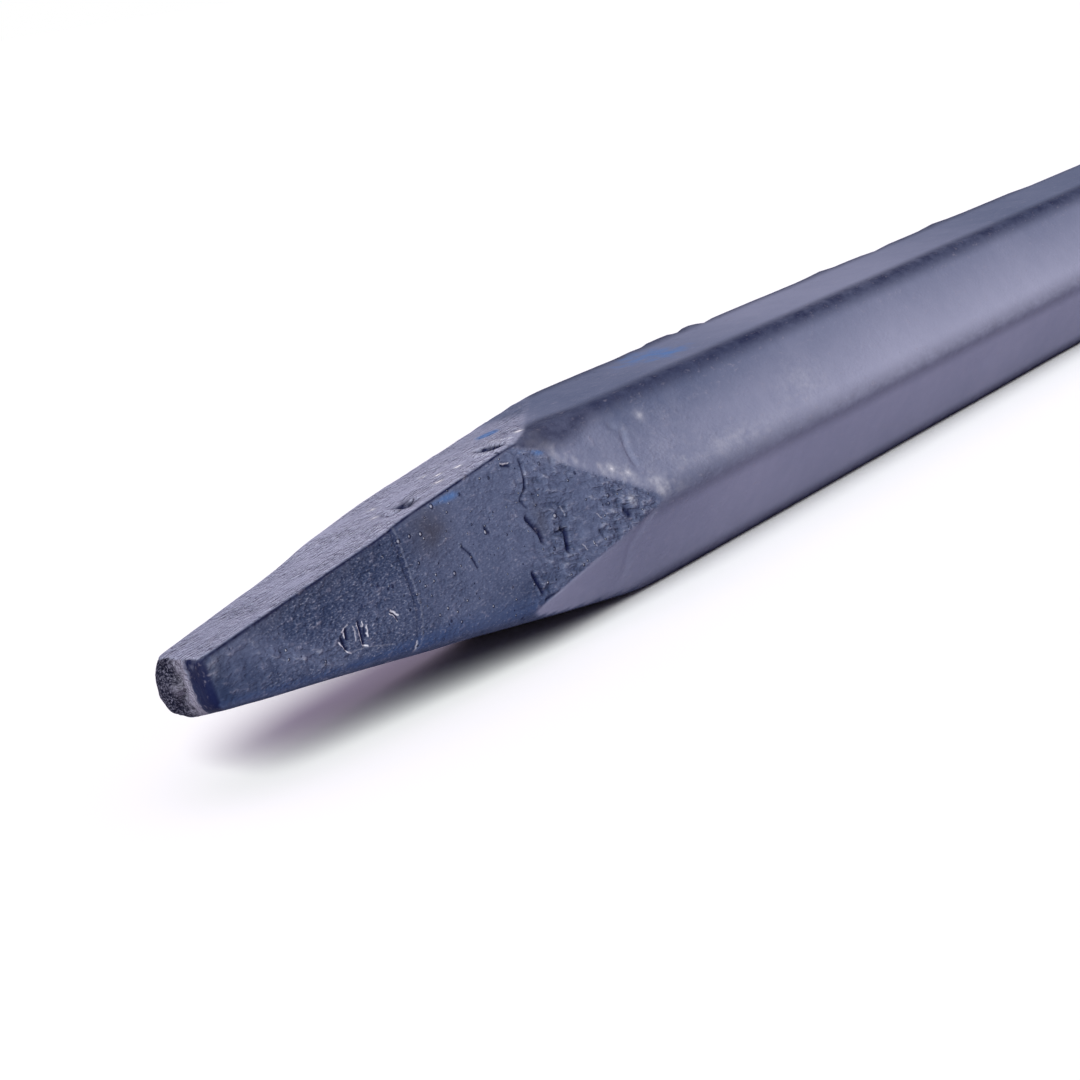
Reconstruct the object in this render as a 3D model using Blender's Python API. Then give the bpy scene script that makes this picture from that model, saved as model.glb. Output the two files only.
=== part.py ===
"""Slate bar: one forging of hexagonal steel, a blunt four-sided point at one end, a bent chisel at the other.

The bar lies along X on one of its flats, with the point at -X, the chisel at +X and its blade turned up
to +Z. The origin is under the middle of the bar, on the surface that it rests on. Sizes are in metres.

The real tool is a single piece of steel, so it is a single solid here: the stock is drawn down and bent
at the chisel end, and the point is what the stock and a tapered four-sided form have in common.
"""
import math

import bmesh
import bpy

# Hexagonal stock
ACROSS_FLATS = 0.0254
BAR_LENGTH = 1.524
STOCK_CORNER_RADIUS = 0.0018

# Four-sided point: widths lie across the bar, heights stand up from its flat
POINT_ROLL = math.radians(-12.5)
TIP_WIDTH = 0.0104
TIP_HEIGHT = 0.0063
TIP_CHAMFER = 0.0010
TIP_SHEAR_ANGLE = math.radians(22.0)
SHOULDER_FROM_TIP = 0.0525
SHOULDER_WIDTH = 0.0198
SIDE_RUNOUT_FROM_TIP = 0.0774
FLAT_RUNOUT_FROM_TIP = 0.0708
POINT_CORNER_RADIUS = 0.0010

# Chisel: lengths are measured back from its cutting edge along the steel
DRAWN_LENGTH = 0.165
BLADE_WIDTH = 0.040
BLADE_THICKNESS = 0.0075
CUTTING_EDGE_THICKNESS = 0.0022
GROUND_BEVEL_LENGTH = 0.016
STRAIGHT_TAIL_LENGTH = 0.075
BEND_RADIUS = 0.130
BEND_ANGLE = math.radians(20.0)
BLADE_CORNER_RADIUS = 0.0016

# How finely curves are stepped
CORNER_STEPS = 3
TAPER_STEPS = 20
BEND_STEPS = 8

PAINT_COLOUR = (0.105, 0.125, 0.215, 1.0)
PAINT_ROUGHNESS = 0.55

# Half of the distance across the corners of a hexagon that stands half_flats high from its middle
HALF_FLATS = ACROSS_FLATS / 2
HALF_CORNERS = ACROSS_FLATS / math.sqrt(3)
HEX_FLAT_SHARE = 0.5
BLADE_FLAT_SHARE = 0.93


def clear_scene():
    """Remove every object, so that the file holds the bar alone."""
    for obj in list(bpy.data.objects):
        bpy.data.objects.remove(obj)


def round_corners(corners, radius):
    """Return the closed outline of a convex polygon with each corner rounded in CORNER_STEPS steps.

    The radius is cut back where the shorter side beside a corner can't hold it.
    """
    outline = []
    count = len(corners)
    for index, (y, z) in enumerate(corners):
        before = corners[index - 1]
        after = corners[(index + 1) % count]
        to_before = (before[0] - y, before[1] - z)
        to_after = (after[0] - y, after[1] - z)
        length_before = math.hypot(*to_before)
        length_after = math.hypot(*to_after)
        unit_before = (to_before[0] / length_before, to_before[1] / length_before)
        unit_after = (to_after[0] / length_after, to_after[1] / length_after)
        cosine = unit_before[0] * unit_after[0] + unit_before[1] * unit_after[1]
        half_angle = math.acos(max(-1.0, min(1.0, cosine))) / 2
        tangent = min(radius / math.tan(half_angle), 0.45 * min(length_before, length_after))
        fitted = tangent * math.tan(half_angle)
        bisector = (unit_before[0] + unit_after[0], unit_before[1] + unit_after[1])
        size = math.hypot(*bisector)
        reach = fitted / math.sin(half_angle)
        centre = (y + bisector[0] / size * reach, z + bisector[1] / size * reach)
        start = (y + unit_before[0] * tangent - centre[0], z + unit_before[1] * tangent - centre[1])
        turn = math.pi - 2 * half_angle
        for step in range(CORNER_STEPS + 1):
            angle = -turn * step / CORNER_STEPS
            outline.append((centre[0] + start[0] * math.cos(angle) - start[1] * math.sin(angle),
                            centre[1] + start[0] * math.sin(angle) + start[1] * math.cos(angle)))
    return outline


def six_sided(half_width, half_height, flat_share, radius):
    """Return a six-sided section, clockwise seen from +X, with flats on top and under it."""
    flat = half_width * flat_share
    corners = [(-flat, half_height), (flat, half_height), (half_width, 0.0),
               (flat, -half_height), (-flat, -half_height), (-half_width, 0.0)]
    return round_corners(corners, radius)


def four_sided(half_width, half_height, radius):
    """Return a rectangular section, clockwise seen from +X."""
    corners = [(-half_width, half_height), (half_width, half_height),
               (half_width, -half_height), (-half_width, -half_height)]
    return round_corners(corners, radius)


def loft(name, rings):
    """Skin a row of rings, given from -X to +X, into one closed solid with flat ends."""
    mesh = bpy.data.meshes.new(name)
    bm = bmesh.new()
    rows = [[bm.verts.new(point) for point in ring] for ring in rings]
    count = len(rows[0])
    for row, following in zip(rows, rows[1:]):
        for index in range(count):
            beside = (index + 1) % count
            bm.faces.new((row[index], row[beside], following[beside], following[index]))
    bm.faces.new(list(reversed(rows[0])))
    bm.faces.new(rows[-1])
    bmesh.ops.recalc_face_normals(bm, faces=bm.faces)
    bm.to_mesh(mesh)
    bm.free()
    obj = bpy.data.objects.new(name, mesh)
    bpy.context.collection.objects.link(obj)
    return obj


def ease(share):
    """Return a smooth rise from 0 to 1 that starts and ends level."""
    return share * share * (3 - 2 * share)


def bend_start_x():
    """Return where the bend begins, so that the cutting edge ends at half the bar's length."""
    reach = BEND_RADIUS * math.sin(BEND_ANGLE) + STRAIGHT_TAIL_LENGTH * math.cos(BEND_ANGLE)
    lower_corner = CUTTING_EDGE_THICKNESS / 2 * math.sin(BEND_ANGLE)
    return BAR_LENGTH / 2 - reach - lower_corner


def centreline(distance):
    """Return x, z and slope of the bar's middle at a distance along the steel from x = 0."""
    straight = bend_start_x()
    bend_length = BEND_RADIUS * BEND_ANGLE
    if distance <= straight:
        return distance, HALF_FLATS, 0.0
    slope = min((distance - straight) / BEND_RADIUS, BEND_ANGLE)
    x = straight + BEND_RADIUS * math.sin(slope)
    z = HALF_FLATS + BEND_RADIUS * (1 - math.cos(slope))
    tail = max(0.0, distance - straight - bend_length)
    return x + tail * math.cos(slope), z + tail * math.sin(slope), slope


def chisel_section(from_edge):
    """Return half width, half height, flat share and corner radius at a distance from the cutting edge.

    The steel thins in a long hollow draw, spreads in an S, and has its last stretch ground to the edge.
    """
    drawn = max(0.0, min(1.0, (DRAWN_LENGTH - from_edge) / (DRAWN_LENGTH - GROUND_BEVEL_LENGTH)))
    half_width = HALF_CORNERS + (BLADE_WIDTH / 2 - HALF_CORNERS) * ease(drawn)
    half_height = BLADE_THICKNESS / 2 + (HALF_FLATS - BLADE_THICKNESS / 2) * (1 - ease(drawn) ** 0.8)
    flat_share = HEX_FLAT_SHARE + (BLADE_FLAT_SHARE - HEX_FLAT_SHARE) * ease(drawn)
    radius = STOCK_CORNER_RADIUS + (BLADE_CORNER_RADIUS - STOCK_CORNER_RADIUS) * drawn
    if from_edge < GROUND_BEVEL_LENGTH:
        ground = 1 - from_edge / GROUND_BEVEL_LENGTH
        half_height += (CUTTING_EDGE_THICKNESS / 2 - half_height) * ground
    return half_width, half_height, flat_share, radius


def make_stock():
    """Skin the hexagonal stock from the tip to the cutting edge, drawn down and bent at the chisel."""
    end = bend_start_x() + BEND_RADIUS * BEND_ANGLE + STRAIGHT_TAIL_LENGTH
    draw_start = end - DRAWN_LENGTH
    bevel_start = end - GROUND_BEVEL_LENGTH
    stations = {-BAR_LENGTH / 2 - ACROSS_FLATS, end}
    for step in range(TAPER_STEPS + 1):
        stations.add(draw_start + (bevel_start - draw_start) * step / TAPER_STEPS)
    for step in range(BEND_STEPS + 1):
        stations.add(bend_start_x() + BEND_RADIUS * BEND_ANGLE * step / BEND_STEPS)
    least_step = DRAWN_LENGTH / TAPER_STEPS / 8
    kept = []
    for distance in sorted(stations):
        if kept and distance - kept[-1] < least_step:
            continue
        kept.append(distance)
    kept[-1] = end
    rings = []
    for distance in kept:
        half_width, half_height, flat_share, radius = chisel_section(end - distance)
        x, z, slope = centreline(distance)
        outline = six_sided(half_width, half_height, flat_share, radius)
        rings.append([(x - up * math.sin(slope), across, z + up * math.cos(slope))
                      for across, up in outline])
    return loft("forged_bar", rings)


def make_point_form():
    """Skin the four-sided form that the point is struck to, opening out past the whole bar behind it."""
    flat_slope = (HALF_FLATS - TIP_HEIGHT / 2) / FLAT_RUNOUT_FROM_TIP
    side_slope = (HALF_CORNERS - SHOULDER_WIDTH / 2) / (SIDE_RUNOUT_FROM_TIP - SHOULDER_FROM_TIP)
    chisel_rise = BEND_RADIUS * (1 - math.cos(BEND_ANGLE)) + STRAIGHT_TAIL_LENGTH * math.sin(BEND_ANGLE)
    clear_height = 2 * HALF_FLATS + chisel_rise + BLADE_WIDTH
    clear_from_tip = (clear_height - TIP_HEIGHT / 2) / flat_slope
    clear_width = SHOULDER_WIDTH / 2 + side_slope * (clear_from_tip - SHOULDER_FROM_TIP)
    half_sizes = [
        (0.0, TIP_WIDTH / 2 - TIP_CHAMFER, TIP_HEIGHT / 2 - TIP_CHAMFER),
        (TIP_CHAMFER, TIP_WIDTH / 2, TIP_HEIGHT / 2 + flat_slope * TIP_CHAMFER),
        (SHOULDER_FROM_TIP, SHOULDER_WIDTH / 2, TIP_HEIGHT / 2 + flat_slope * SHOULDER_FROM_TIP),
        (clear_from_tip, clear_width, clear_height),
        (BAR_LENGTH + ACROSS_FLATS, clear_width, clear_height),
    ]
    turn_cos = math.cos(POINT_ROLL)
    turn_sin = math.sin(POINT_ROLL)
    rings = []
    for from_tip, half_width, half_height in half_sizes:
        outline = four_sided(half_width, half_height, POINT_CORNER_RADIUS)
        ring = []
        for across, up in outline:
            x = from_tip - BAR_LENGTH / 2
            if from_tip <= TIP_CHAMFER:
                x += math.tan(TIP_SHEAR_ANGLE) * (across + TIP_WIDTH / 2 - TIP_CHAMFER)
            ring.append((x, across * turn_cos - up * turn_sin,
                         HALF_FLATS + across * turn_sin + up * turn_cos))
        rings.append(ring)
    form = loft("point_form", rings)
    form.hide_render = True
    form.display_type = "WIRE"
    return form


def strike_point(bar, form):
    """Keep what the stock and the point's form have in common."""
    cut = bar.modifiers.new("struck_point", "BOOLEAN")
    cut.operation = "INTERSECT"
    cut.solver = "EXACT"
    cut.object = form


def paint(obj):
    """Give the bar its one coat of slate-blue paint."""
    material = bpy.data.materials.new("slate_blue_paint")
    material.use_nodes = True
    shader = material.node_tree.nodes["Principled BSDF"]
    shader.inputs["Base Color"].default_value = PAINT_COLOUR
    shader.inputs["Roughness"].default_value = PAINT_ROUGHNESS
    shader.inputs["Metallic"].default_value = 0.0
    obj.data.materials.append(material)


def main():
    """Build the bar."""
    clear_scene()
    bar = make_stock()
    form = make_point_form()
    strike_point(bar, form)
    paint(bar)


main()
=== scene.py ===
"""Looks of a forged slate bar: a hexagonal steel bar in slate-blue paint, a four-sided point struck
on one end and a drawn, spread and turned-up chisel on the other.

The bar is one solid forging, so it is one closed surface here. Every shape is a formula worked out
on a grid of rows along the bar and columns round it. Lengths are in metres, +X runs from the point
to the cutting edge, +Z is up and the lower flat lies on the table at height 0.
"""

import logging
import math
from dataclasses import dataclass
from enum import Enum

import bpy
import numpy as np
from mathutils import Matrix, Vector


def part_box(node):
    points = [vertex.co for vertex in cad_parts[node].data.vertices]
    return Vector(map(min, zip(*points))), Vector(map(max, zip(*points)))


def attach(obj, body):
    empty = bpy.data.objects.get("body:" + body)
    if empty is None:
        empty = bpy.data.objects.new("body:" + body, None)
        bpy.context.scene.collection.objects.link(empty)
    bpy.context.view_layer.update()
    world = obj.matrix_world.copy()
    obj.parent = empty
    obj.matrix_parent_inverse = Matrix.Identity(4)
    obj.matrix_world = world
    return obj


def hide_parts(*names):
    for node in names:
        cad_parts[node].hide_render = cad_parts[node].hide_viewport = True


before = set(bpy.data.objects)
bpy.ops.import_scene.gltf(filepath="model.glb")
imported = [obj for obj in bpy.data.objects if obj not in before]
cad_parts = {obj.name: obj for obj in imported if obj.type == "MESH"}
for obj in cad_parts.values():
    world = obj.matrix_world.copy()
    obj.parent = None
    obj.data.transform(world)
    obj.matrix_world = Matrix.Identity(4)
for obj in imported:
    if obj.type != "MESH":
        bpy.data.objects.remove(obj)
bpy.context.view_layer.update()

MM = 0.001
CAD_NODE = "forged_bar"
PAINT_SLOT = "slate_blue_paint"

log = logging.getLogger("slate_bar")

Array = np.ndarray
Colour = tuple[float, float, float]
Triple = tuple[float, float, float]
Pair = tuple[float, float]


def even(share: Array, low: float, high: float) -> Array:
    """A straight rise from 0 at low to 1 at high, which holds its ends beyond them."""
    return np.clip((share - low) / (high - low), 0.0, 1.0)


def ease(share: Array, low: float = 0.0, high: float = 1.0) -> Array:
    """An s-curve from 0 at low to 1 at high: 3s² - 2s³, where s is the way from low to high.

    It falls instead where low is the larger one.

    Args:
        share: The values to ease.
        low: Where the curve leaves 0.
        high: Where it reaches 1.

    Returns:
        Values from 0 to 1, the shape of share.
    """
    part = even(share, low, high)
    return part * part * (3 - 2 * part)


def hill(offset: Array, width: float) -> Array:
    """A bell curve, 1 at offset 0 and 1/e one width away."""
    return np.exp(-((offset / width) ** 2))


def graded(start: float, stop: float, first: float, last: float) -> Array:
    """Places from after start up to stop, whose spacing grows evenly from first to last.

    Args:
        start: The place before the first one returned.
        stop: The last place.
        first: The first spacing.
        last: The last spacing.

    Returns:
        The places: start + (stop - start)(s + gs²)/(1 + g), where g = (last/first - 1)/2.
    """
    count = max(2, round(2 * (stop - start) / (first + last)))
    share = np.arange(1, count + 1) / count
    growth = (last / first - 1) / 2
    return start + (stop - start) * (share + growth * share**2) / (1 + growth)


def scattered(cells: Array, seed: int) -> Array:
    """An even random number from 0 to 1 for each whole-number cell, by mixing its integer bits.

    Args:
        cells: Cell numbers, three to a cell on the last axis.
        seed: Which set of numbers to draw.

    Returns:
        One number for each cell.
    """
    mixed = cells.astype(np.int64) @ np.array([73856093, 19349663, 83492791]) + seed * 40503
    mixed = (mixed ^ (mixed >> 13)) * 1274126177 & 0xFFFFFFFF
    mixed = (mixed ^ (mixed >> 16)) * 668265263 & 0xFFFFFFFF
    return (mixed ^ (mixed >> 15)) / 2.0**32


def cloud(points: Array, cell: float | Array, seed: int) -> Array:
    """Smooth noise from -1 to 1: random numbers at the corners of a lattice, blended by s-curves.

    Args:
        points: Places, three numbers each on the last axis.
        cell: The lattice's spacing, one number or one for each axis.
        seed: Which noise to draw.

    Returns:
        One value for each place.
    """
    scaled = points / cell
    base = np.floor(scaled)
    part = ease(scaled - base)
    total = np.zeros(points.shape[:-1])
    for corner in np.ndindex(2, 2, 2):
        share = np.prod(np.where(np.array(corner) == 1, part, 1 - part), axis=-1)
        total += share * scattered(base + np.array(corner), seed)
    return 2 * total - 1


def domes(points: Array, cell: float, radius: float, share: float, seed: int) -> Array:
    """Scattered round bumps from 0 to 1: (1 - d²/r²)² round a random place in some of the cells.

    Args:
        points: Places, three numbers each on the last axis.
        cell: The side of the cubic cells, each of which may hold one bump.
        radius: The largest bump's radius, up to one cell. The smallest has half of it.
        share: The share of the cells that hold a bump.
        seed: Which bumps to draw.

    Returns:
        One height for each place.
    """
    scaled = points / cell
    base = np.floor(scaled)
    total = np.zeros(points.shape[:-1])
    for offset in np.ndindex(3, 3, 3):
        home = base + np.array(offset) - 1
        middle = home + np.stack([scattered(home, seed + axis) for axis in range(3)], axis=-1)
        size = radius / cell * (0.5 + 0.5 * scattered(home, seed + 3))
        near = 1 - ((scaled - middle) ** 2).sum(axis=-1) / size**2
        held = scattered(home, seed + 4) < share
        total += np.where(held, np.clip(near, 0, None) ** 2, 0)
    return total


class Side(Enum):
    """The faces of the bar that carry marks of their own."""

    NEAR_FACET = "near facet of the point"
    TOP_FACET = "top facet of the point"
    STOCK_TOP = "top flat of the stock"
    STOCK_UPPER = "near upper side of the stock"
    STOCK_LOWER = "near lower side of the stock"
    FAR_RIDGE = "far edge of the top flat"


@dataclass(frozen=True)
class Stroke:
    """A cut, dent or raised lip that follows a line of a few points on one face.

    The points are millimetres from the tip and millimetres up or across the face. The height is
    in metres and cuts inwards when it is below zero; a lip stands up along both flanks.
    """

    side: Side
    points: tuple[Pair, ...]
    width: float
    height: float
    lip: float = 0.0

    def raised(self, along: Array, across: Array) -> Array:
        """Height over the face: a bell across the line, and a lip as a narrower bell beside it.

        Args:
            along: Distances from the tip.
            across: Places across the face.

        Returns:
            Heights in metres.
        """
        nearest = np.full(along.shape, np.inf)
        for (x0, y0), (x1, y1) in zip(self.points, self.points[1:]):
            start = np.array([x0, y0]) * MM
            run = np.array([x1 - x0, y1 - y0]) * MM
            dx, dy = along - start[0], across - start[1]
            part = np.clip((dx * run[0] + dy * run[1]) / (run @ run), 0, 1)
            nearest = np.minimum(nearest, np.hypot(dx - part * run[0], dy - part * run[1]))
        lip = self.lip * hill(nearest - 1.7 * self.width, 0.6 * self.width)
        return self.height * hill(nearest, self.width) + lip


@dataclass(frozen=True)
class Grain:
    """One layer of small relief: smooth noise, or scattered round bumps where a radius is given.

    The cell, the radius and the height are in millimetres. Pits have a height below zero.
    """

    cell: float | Triple
    height: float
    seed: int
    radius: float = 0.0
    share: float = 0.0

    def raised(self, places: Array) -> Array:
        """The layer's height, in millimetres.

        Args:
            places: Places in metres, three numbers each on the last axis.

        Returns:
            One height for each place.
        """
        cell = np.array(self.cell) * MM
        if self.radius > 0:
            found = domes(places, cell, self.radius * MM, self.share, self.seed)
        else:
            found = cloud(places, cell, self.seed)
        return found * self.height


@dataclass(frozen=True)
class Blot:
    """An oval patch on one face, whose ragged edge the paint's own noise cuts.

    Its middle and half sizes are in millimetres, along the bar and across the face.
    """

    side: Side
    middle: Pair
    half: Pair
    strength: float = 1.0

    def cover(self, along: Array, across: Array) -> Array:
        """Coverage from 0 to strength: a bell of the distance in half sizes.

        Args:
            along: Distances from the tip.
            across: Places across the face.

        Returns:
            Coverage at each place.
        """
        dx = (along / MM - self.middle[0]) / self.half[0]
        dy = (across / MM - self.middle[1]) / self.half[1]
        return self.strength * np.exp(-(dx * dx + dy * dy))


@dataclass(frozen=True)
class Shade:
    """A stretch of one face where the colour is paler, or darker if the change is below zero.

    The change is shaped by s-curves and a bell along the bar and by an s-curve across the face, all
    in millimetres. A curve given as (low, high) falls from 1 to 0 where its low end is the larger.
    """

    side: Side
    change: float
    eased: tuple[Pair, ...] = ()
    peak: Pair | None = None
    across: Pair | None = None

    def at(self, along: Array, across: Array) -> Array:
        """The change at each place: the product of its curves.

        Args:
            along: Distances from the tip.
            across: Places across the face.

        Returns:
            What is added to the film there.
        """
        found = np.full(along.shape, self.change)
        for low, high in self.eased:
            found *= ease(along / MM, low, high)
        if self.peak is not None:
            found *= hill(along / MM - self.peak[0], self.peak[1])
        if self.across is not None:
            found *= ease(across / MM, *self.across)
        return found


@dataclass(frozen=True)
class FineLine:
    """A hair-thin scratch or rim on the near facet, which the finish draws: a rim as a painted
    highlight, a cut as a painted shadow.

    The points are millimetres from the tip and up the facet, and the half width is in millimetres.
    """

    points: tuple[Pair, ...]
    half_width: float
    strength: float = 1.0


class Field:
    """A number that varies over the surface, held as a node's output socket.

    Arithmetic on fields and numbers adds Math nodes to the same graph.
    """

    def __init__(self, graph: "Graph", socket: bpy.types.NodeSocket) -> None:
        """Keeps the graph and the socket."""
        self.graph = graph
        self.socket = socket

    def _math(self, operation: str, *terms: "Field | float") -> "Field":
        """One Math node on the terms."""
        inputs = dict(zip(("Value", "Value_001", "Value_002"), terms))
        return self.graph.field("ShaderNodeMath", {"operation": operation}, inputs)

    def __add__(self, other: "Field | float") -> "Field":
        """self + other."""
        return self._math("ADD", self, other)

    __radd__ = __add__

    def __sub__(self, other: "Field | float") -> "Field":
        """self - other."""
        return self._math("SUBTRACT", self, other)

    def __rsub__(self, other: "Field | float") -> "Field":
        """other - self."""
        return self._math("SUBTRACT", other, self)

    def __mul__(self, other: "Field | float") -> "Field":
        """self times other."""
        return self._math("MULTIPLY", self, other)

    __rmul__ = __mul__

    def __truediv__(self, other: "Field | float") -> "Field":
        """self over other."""
        return self._math("DIVIDE", self, other)

    def __rtruediv__(self, other: "Field | float") -> "Field":
        """other over self."""
        return self._math("DIVIDE", other, self)

    def most(self, other: "Field | float") -> "Field":
        """The larger of the two."""
        return self._math("MAXIMUM", self, other)

    def least(self, other: "Field | float") -> "Field":
        """The smaller of the two."""
        return self._math("MINIMUM", self, other)

    def within(self) -> "Field":
        """The field held from 0 to 1."""
        return self.least(1.0).most(0.0)

    def ramp(self, low: float, high: float) -> "Field":
        """An s-curve of the field, from 0 at low to 1 at high. Low may be above high.

        Args:
            low: The value that gives 0.
            high: The value that gives 1.

        Returns:
            The eased field.
        """
        settings = {"interpolation_type": "SMOOTHSTEP", "clamp": True}
        ends = (low, high) if low < high else (high, low)
        inputs = {"Value": self, "From Min": ends[0], "From Max": ends[1]}
        eased = self.graph.field("ShaderNodeMapRange", settings, inputs)
        return eased if low < high else 1 - eased


class Graph:
    """The nodes of a material or of the world, made by one method from settings and inputs."""

    def __init__(self, owner: bpy.types.Material | bpy.types.World, output: str) -> None:
        """Empties the owner's node tree and gives it its output.

        Args:
            owner: The material or the world.
            output: The output node's type.
        """
        owner.use_nodes = True
        self.owner = owner
        self.tree = owner.node_tree
        self.tree.nodes.clear()
        self.output = self.tree.nodes.new(output)

    def node(self, kind: str, settings: dict, inputs: dict) -> bpy.types.Node:
        """Adds a node, sets its settings, and then its sockets' values or links.

        Args:
            kind: The node's type, as Blender names it.
            settings: Attributes of the node, set first.
            inputs: For each socket's identifier or name, a value, Field or output socket.

        Returns:
            The new node.
        """
        made = self.tree.nodes.new(kind)
        for name, value in settings.items():
            setattr(made, name, value)
        for name, value in inputs.items():
            socket = self._socket(made.inputs, name)
            source = value.socket if isinstance(value, Field) else value
            if isinstance(source, bpy.types.NodeSocket):
                self.tree.links.new(source, socket)
            elif socket.type == "RGBA" and len(source) == 3:
                socket.default_value = (*source, 1.0)
            else:
                socket.default_value = source
        return made

    @staticmethod
    def _socket(sockets: bpy.types.bpy_prop_collection, name: str) -> bpy.types.NodeSocket:
        """The socket with that identifier, or else with that name."""
        known = {socket.identifier: socket for socket in sockets}
        return known[name] if name in known else sockets[name]

    def field(self, kind: str, settings: dict, inputs: dict, output: str = "") -> Field:
        """Adds a node and wraps one of its outputs, the first if none is named.

        Args:
            kind: The node's type.
            settings: Attributes of the node.
            inputs: Values or links of its sockets.
            output: The output's identifier or name.

        Returns:
            The output as a Field.
        """
        made = self.node(kind, settings, inputs)
        return Field(self, self._socket(made.outputs, output) if output else made.outputs[0])

    def attribute(self, name: str) -> tuple[Field, Field, Field]:
        """The three parts of a vector that the mesh holds at each vertex.

        Args:
            name: The attribute's name.

        Returns:
            Its first, second and third numbers.
        """
        held = self.node("ShaderNodeAttribute", {"attribute_name": name}, {})
        parts = self.node("ShaderNodeSeparateXYZ", {}, {"Vector": held.outputs["Vector"]})
        return tuple(Field(self, socket) for socket in parts.outputs)

    def places(self, stretch: Triple = (1.0, 1.0, 1.0)) -> bpy.types.NodeSocket:
        """Object coordinates, with each axis multiplied by its stretch."""
        own = self.node("ShaderNodeTexCoord", {}, {}).outputs["Object"]
        scaled = {"Vector": own, "Vector_001": stretch}
        return self.node("ShaderNodeVectorMath", {"operation": "MULTIPLY"}, scaled).outputs[0]

    def flat(self, first: Field, second: Field) -> Field:
        """A vector of two coordinates."""
        return self.field("ShaderNodeCombineXYZ", {}, {"X": first, "Y": second})

    def vector(self, operation: str, output: str, *terms: object, scale: object = 1.0) -> Field:
        """One Vector Math node.

        Args:
            operation: What it does, as Blender names it.
            output: Which output is wanted, Vector or Value.
            terms: Its vectors, as numbers or sockets.
            scale: Its scale, which only the operation SCALE reads.

        Returns:
            The output.
        """
        sockets = [term.socket if isinstance(term, Field) else term for term in terms]
        inputs = dict(zip(("Vector", "Vector_001"), sockets)) | {"Scale": scale}
        return self.field("ShaderNodeVectorMath", {"operation": operation}, inputs, output)

    def line_gap(self, place: Field, points: tuple[Pair, ...]) -> Field:
        """Distance from a place to a line through a few points, the least over its stretches.

        Args:
            place: Two coordinates in a vector.
            points: The line's points in the same coordinates.

        Returns:
            The distance.
        """
        found = None
        for (x0, y0), (x1, y1) in zip(points, points[1:]):
            run = (x1 - x0, y1 - y0, 0.0)
            offset = self.vector("SUBTRACT", "Vector", place, (x0, y0, 0.0))
            along = self.vector("DOT_PRODUCT", "Value", offset, run)
            part = (along / (run[0] ** 2 + run[1] ** 2)).within()
            foot = self.vector("SCALE", "Vector", run, scale=part)
            gap = self.vector("DISTANCE", "Value", offset, foot)
            found = gap if found is None else found.least(gap)
        return found

    def point_gap(self, place: Field, points: tuple[Pair, ...]) -> Field:
        """Distance from a place to the nearest of a few points.

        Args:
            place: Two coordinates in a vector.
            points: The points in the same coordinates.

        Returns:
            The distance.
        """
        gaps = [self.vector("DISTANCE", "Value", place, (*point, 0.0)) for point in points]
        found = gaps[0]
        for gap in gaps[1:]:
            found = found.least(gap)
        return found

    def drawn(self, place: Field, lines: tuple[FineLine, ...]) -> Field:
        """How much a set of fine lines covers a place, the most over the lines.

        Args:
            place: Two coordinates in a vector, in millimetres.
            lines: The lines.

        Returns:
            Coverage from 0 to the lines' strength.
        """
        total = None
        for line in lines:
            cover = self.line_gap(place, line.points).ramp(line.half_width, 0.0) * line.strength
            total = cover if total is None else total.most(cover)
        return total

    def noise(
        self,
        grain: float,
        detail: float,
        stretch: Triple = (1.0, 1.0, 1.0),
        place: Field | None = None,
    ) -> Field:
        """Noise about 0, from about -1 to 1.

        Args:
            grain: The size of its grains, in the units of the place.
            detail: How many finer octaves it holds.
            stretch: What each axis is multiplied by first. A small number makes streaks.
            place: Where it is read, by default the stretched object coordinates, in metres.

        Returns:
            The noise.
        """
        held = self.places(stretch) if place is None else place
        inputs = {"Vector": held, "Scale": 0.5 / grain, "Detail": detail}
        return self.field("ShaderNodeTexNoise", {}, inputs) * 4 - 2

    def beads(self, spacing: float, share: float) -> Field:
        """Round beads from 0 to 1, one in some of the cells of a lattice.

        Args:
            spacing: The distance between cells, in metres.
            share: The share of the cells that hold a bead.

        Returns:
            Their height.
        """
        inputs = {"Vector": self.places(), "Scale": 1 / spacing}
        cells = self.node("ShaderNodeTexVoronoi", {}, inputs)
        luck = self.node("ShaderNodeSeparateColor", {}, {"Color": cells.outputs["Color"]})
        held = Field(self, luck.outputs[0]).ramp(share + 0.01, share - 0.01)
        size = Field(self, luck.outputs[1]) * 0.13 + 0.13
        near = (1 - Field(self, cells.outputs["Distance"]) / size).most(0.0)
        return near.ramp(0.0, 0.8) * held

    def grains(self, spacing: float, stretch: Triple) -> Field:
        """Close-packed grains from 0 between them to 1 at each one's middle.

        Args:
            spacing: The distance between their middles, in metres.
            stretch: What each axis is multiplied by first.

        Returns:
            Their height.
        """
        inputs = {"Vector": self.places(stretch), "Scale": 1 / spacing}
        cells = self.node("ShaderNodeTexVoronoi", {}, inputs)
        return (1 - Field(self, cells.outputs["Distance"]) * 1.5).most(0.0)

    def blend(
        self,
        share: Field | float,
        under: Colour | bpy.types.NodeSocket,
        over: Colour | bpy.types.NodeSocket,
    ) -> bpy.types.NodeSocket:
        """One colour laid over another.

        Args:
            share: How much of the upper colour shows, from 0 to 1.
            under: The lower colour, or the socket that gives it.
            over: The upper colour, or the socket that gives it.

        Returns:
            The blended colour's socket.
        """
        inputs = {"Factor_Float": share, "A_Color": under, "B_Color": over}
        settings = {"data_type": "RGBA", "clamp_factor": True}
        made = self.node("ShaderNodeMix", settings, inputs)
        return self._socket(made.outputs, "Result_Color")

    def mixed(
        self, share: Field | bpy.types.NodeSocket, under: bpy.types.Node, over: bpy.types.Node
    ) -> bpy.types.Node:
        """One shader laid over another, by the share of the upper one."""
        inputs = {"Fac": share, "Shader": under.outputs[0], "Shader_001": over.outputs[0]}
        return self.node("ShaderNodeMixShader", {}, inputs)

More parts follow.
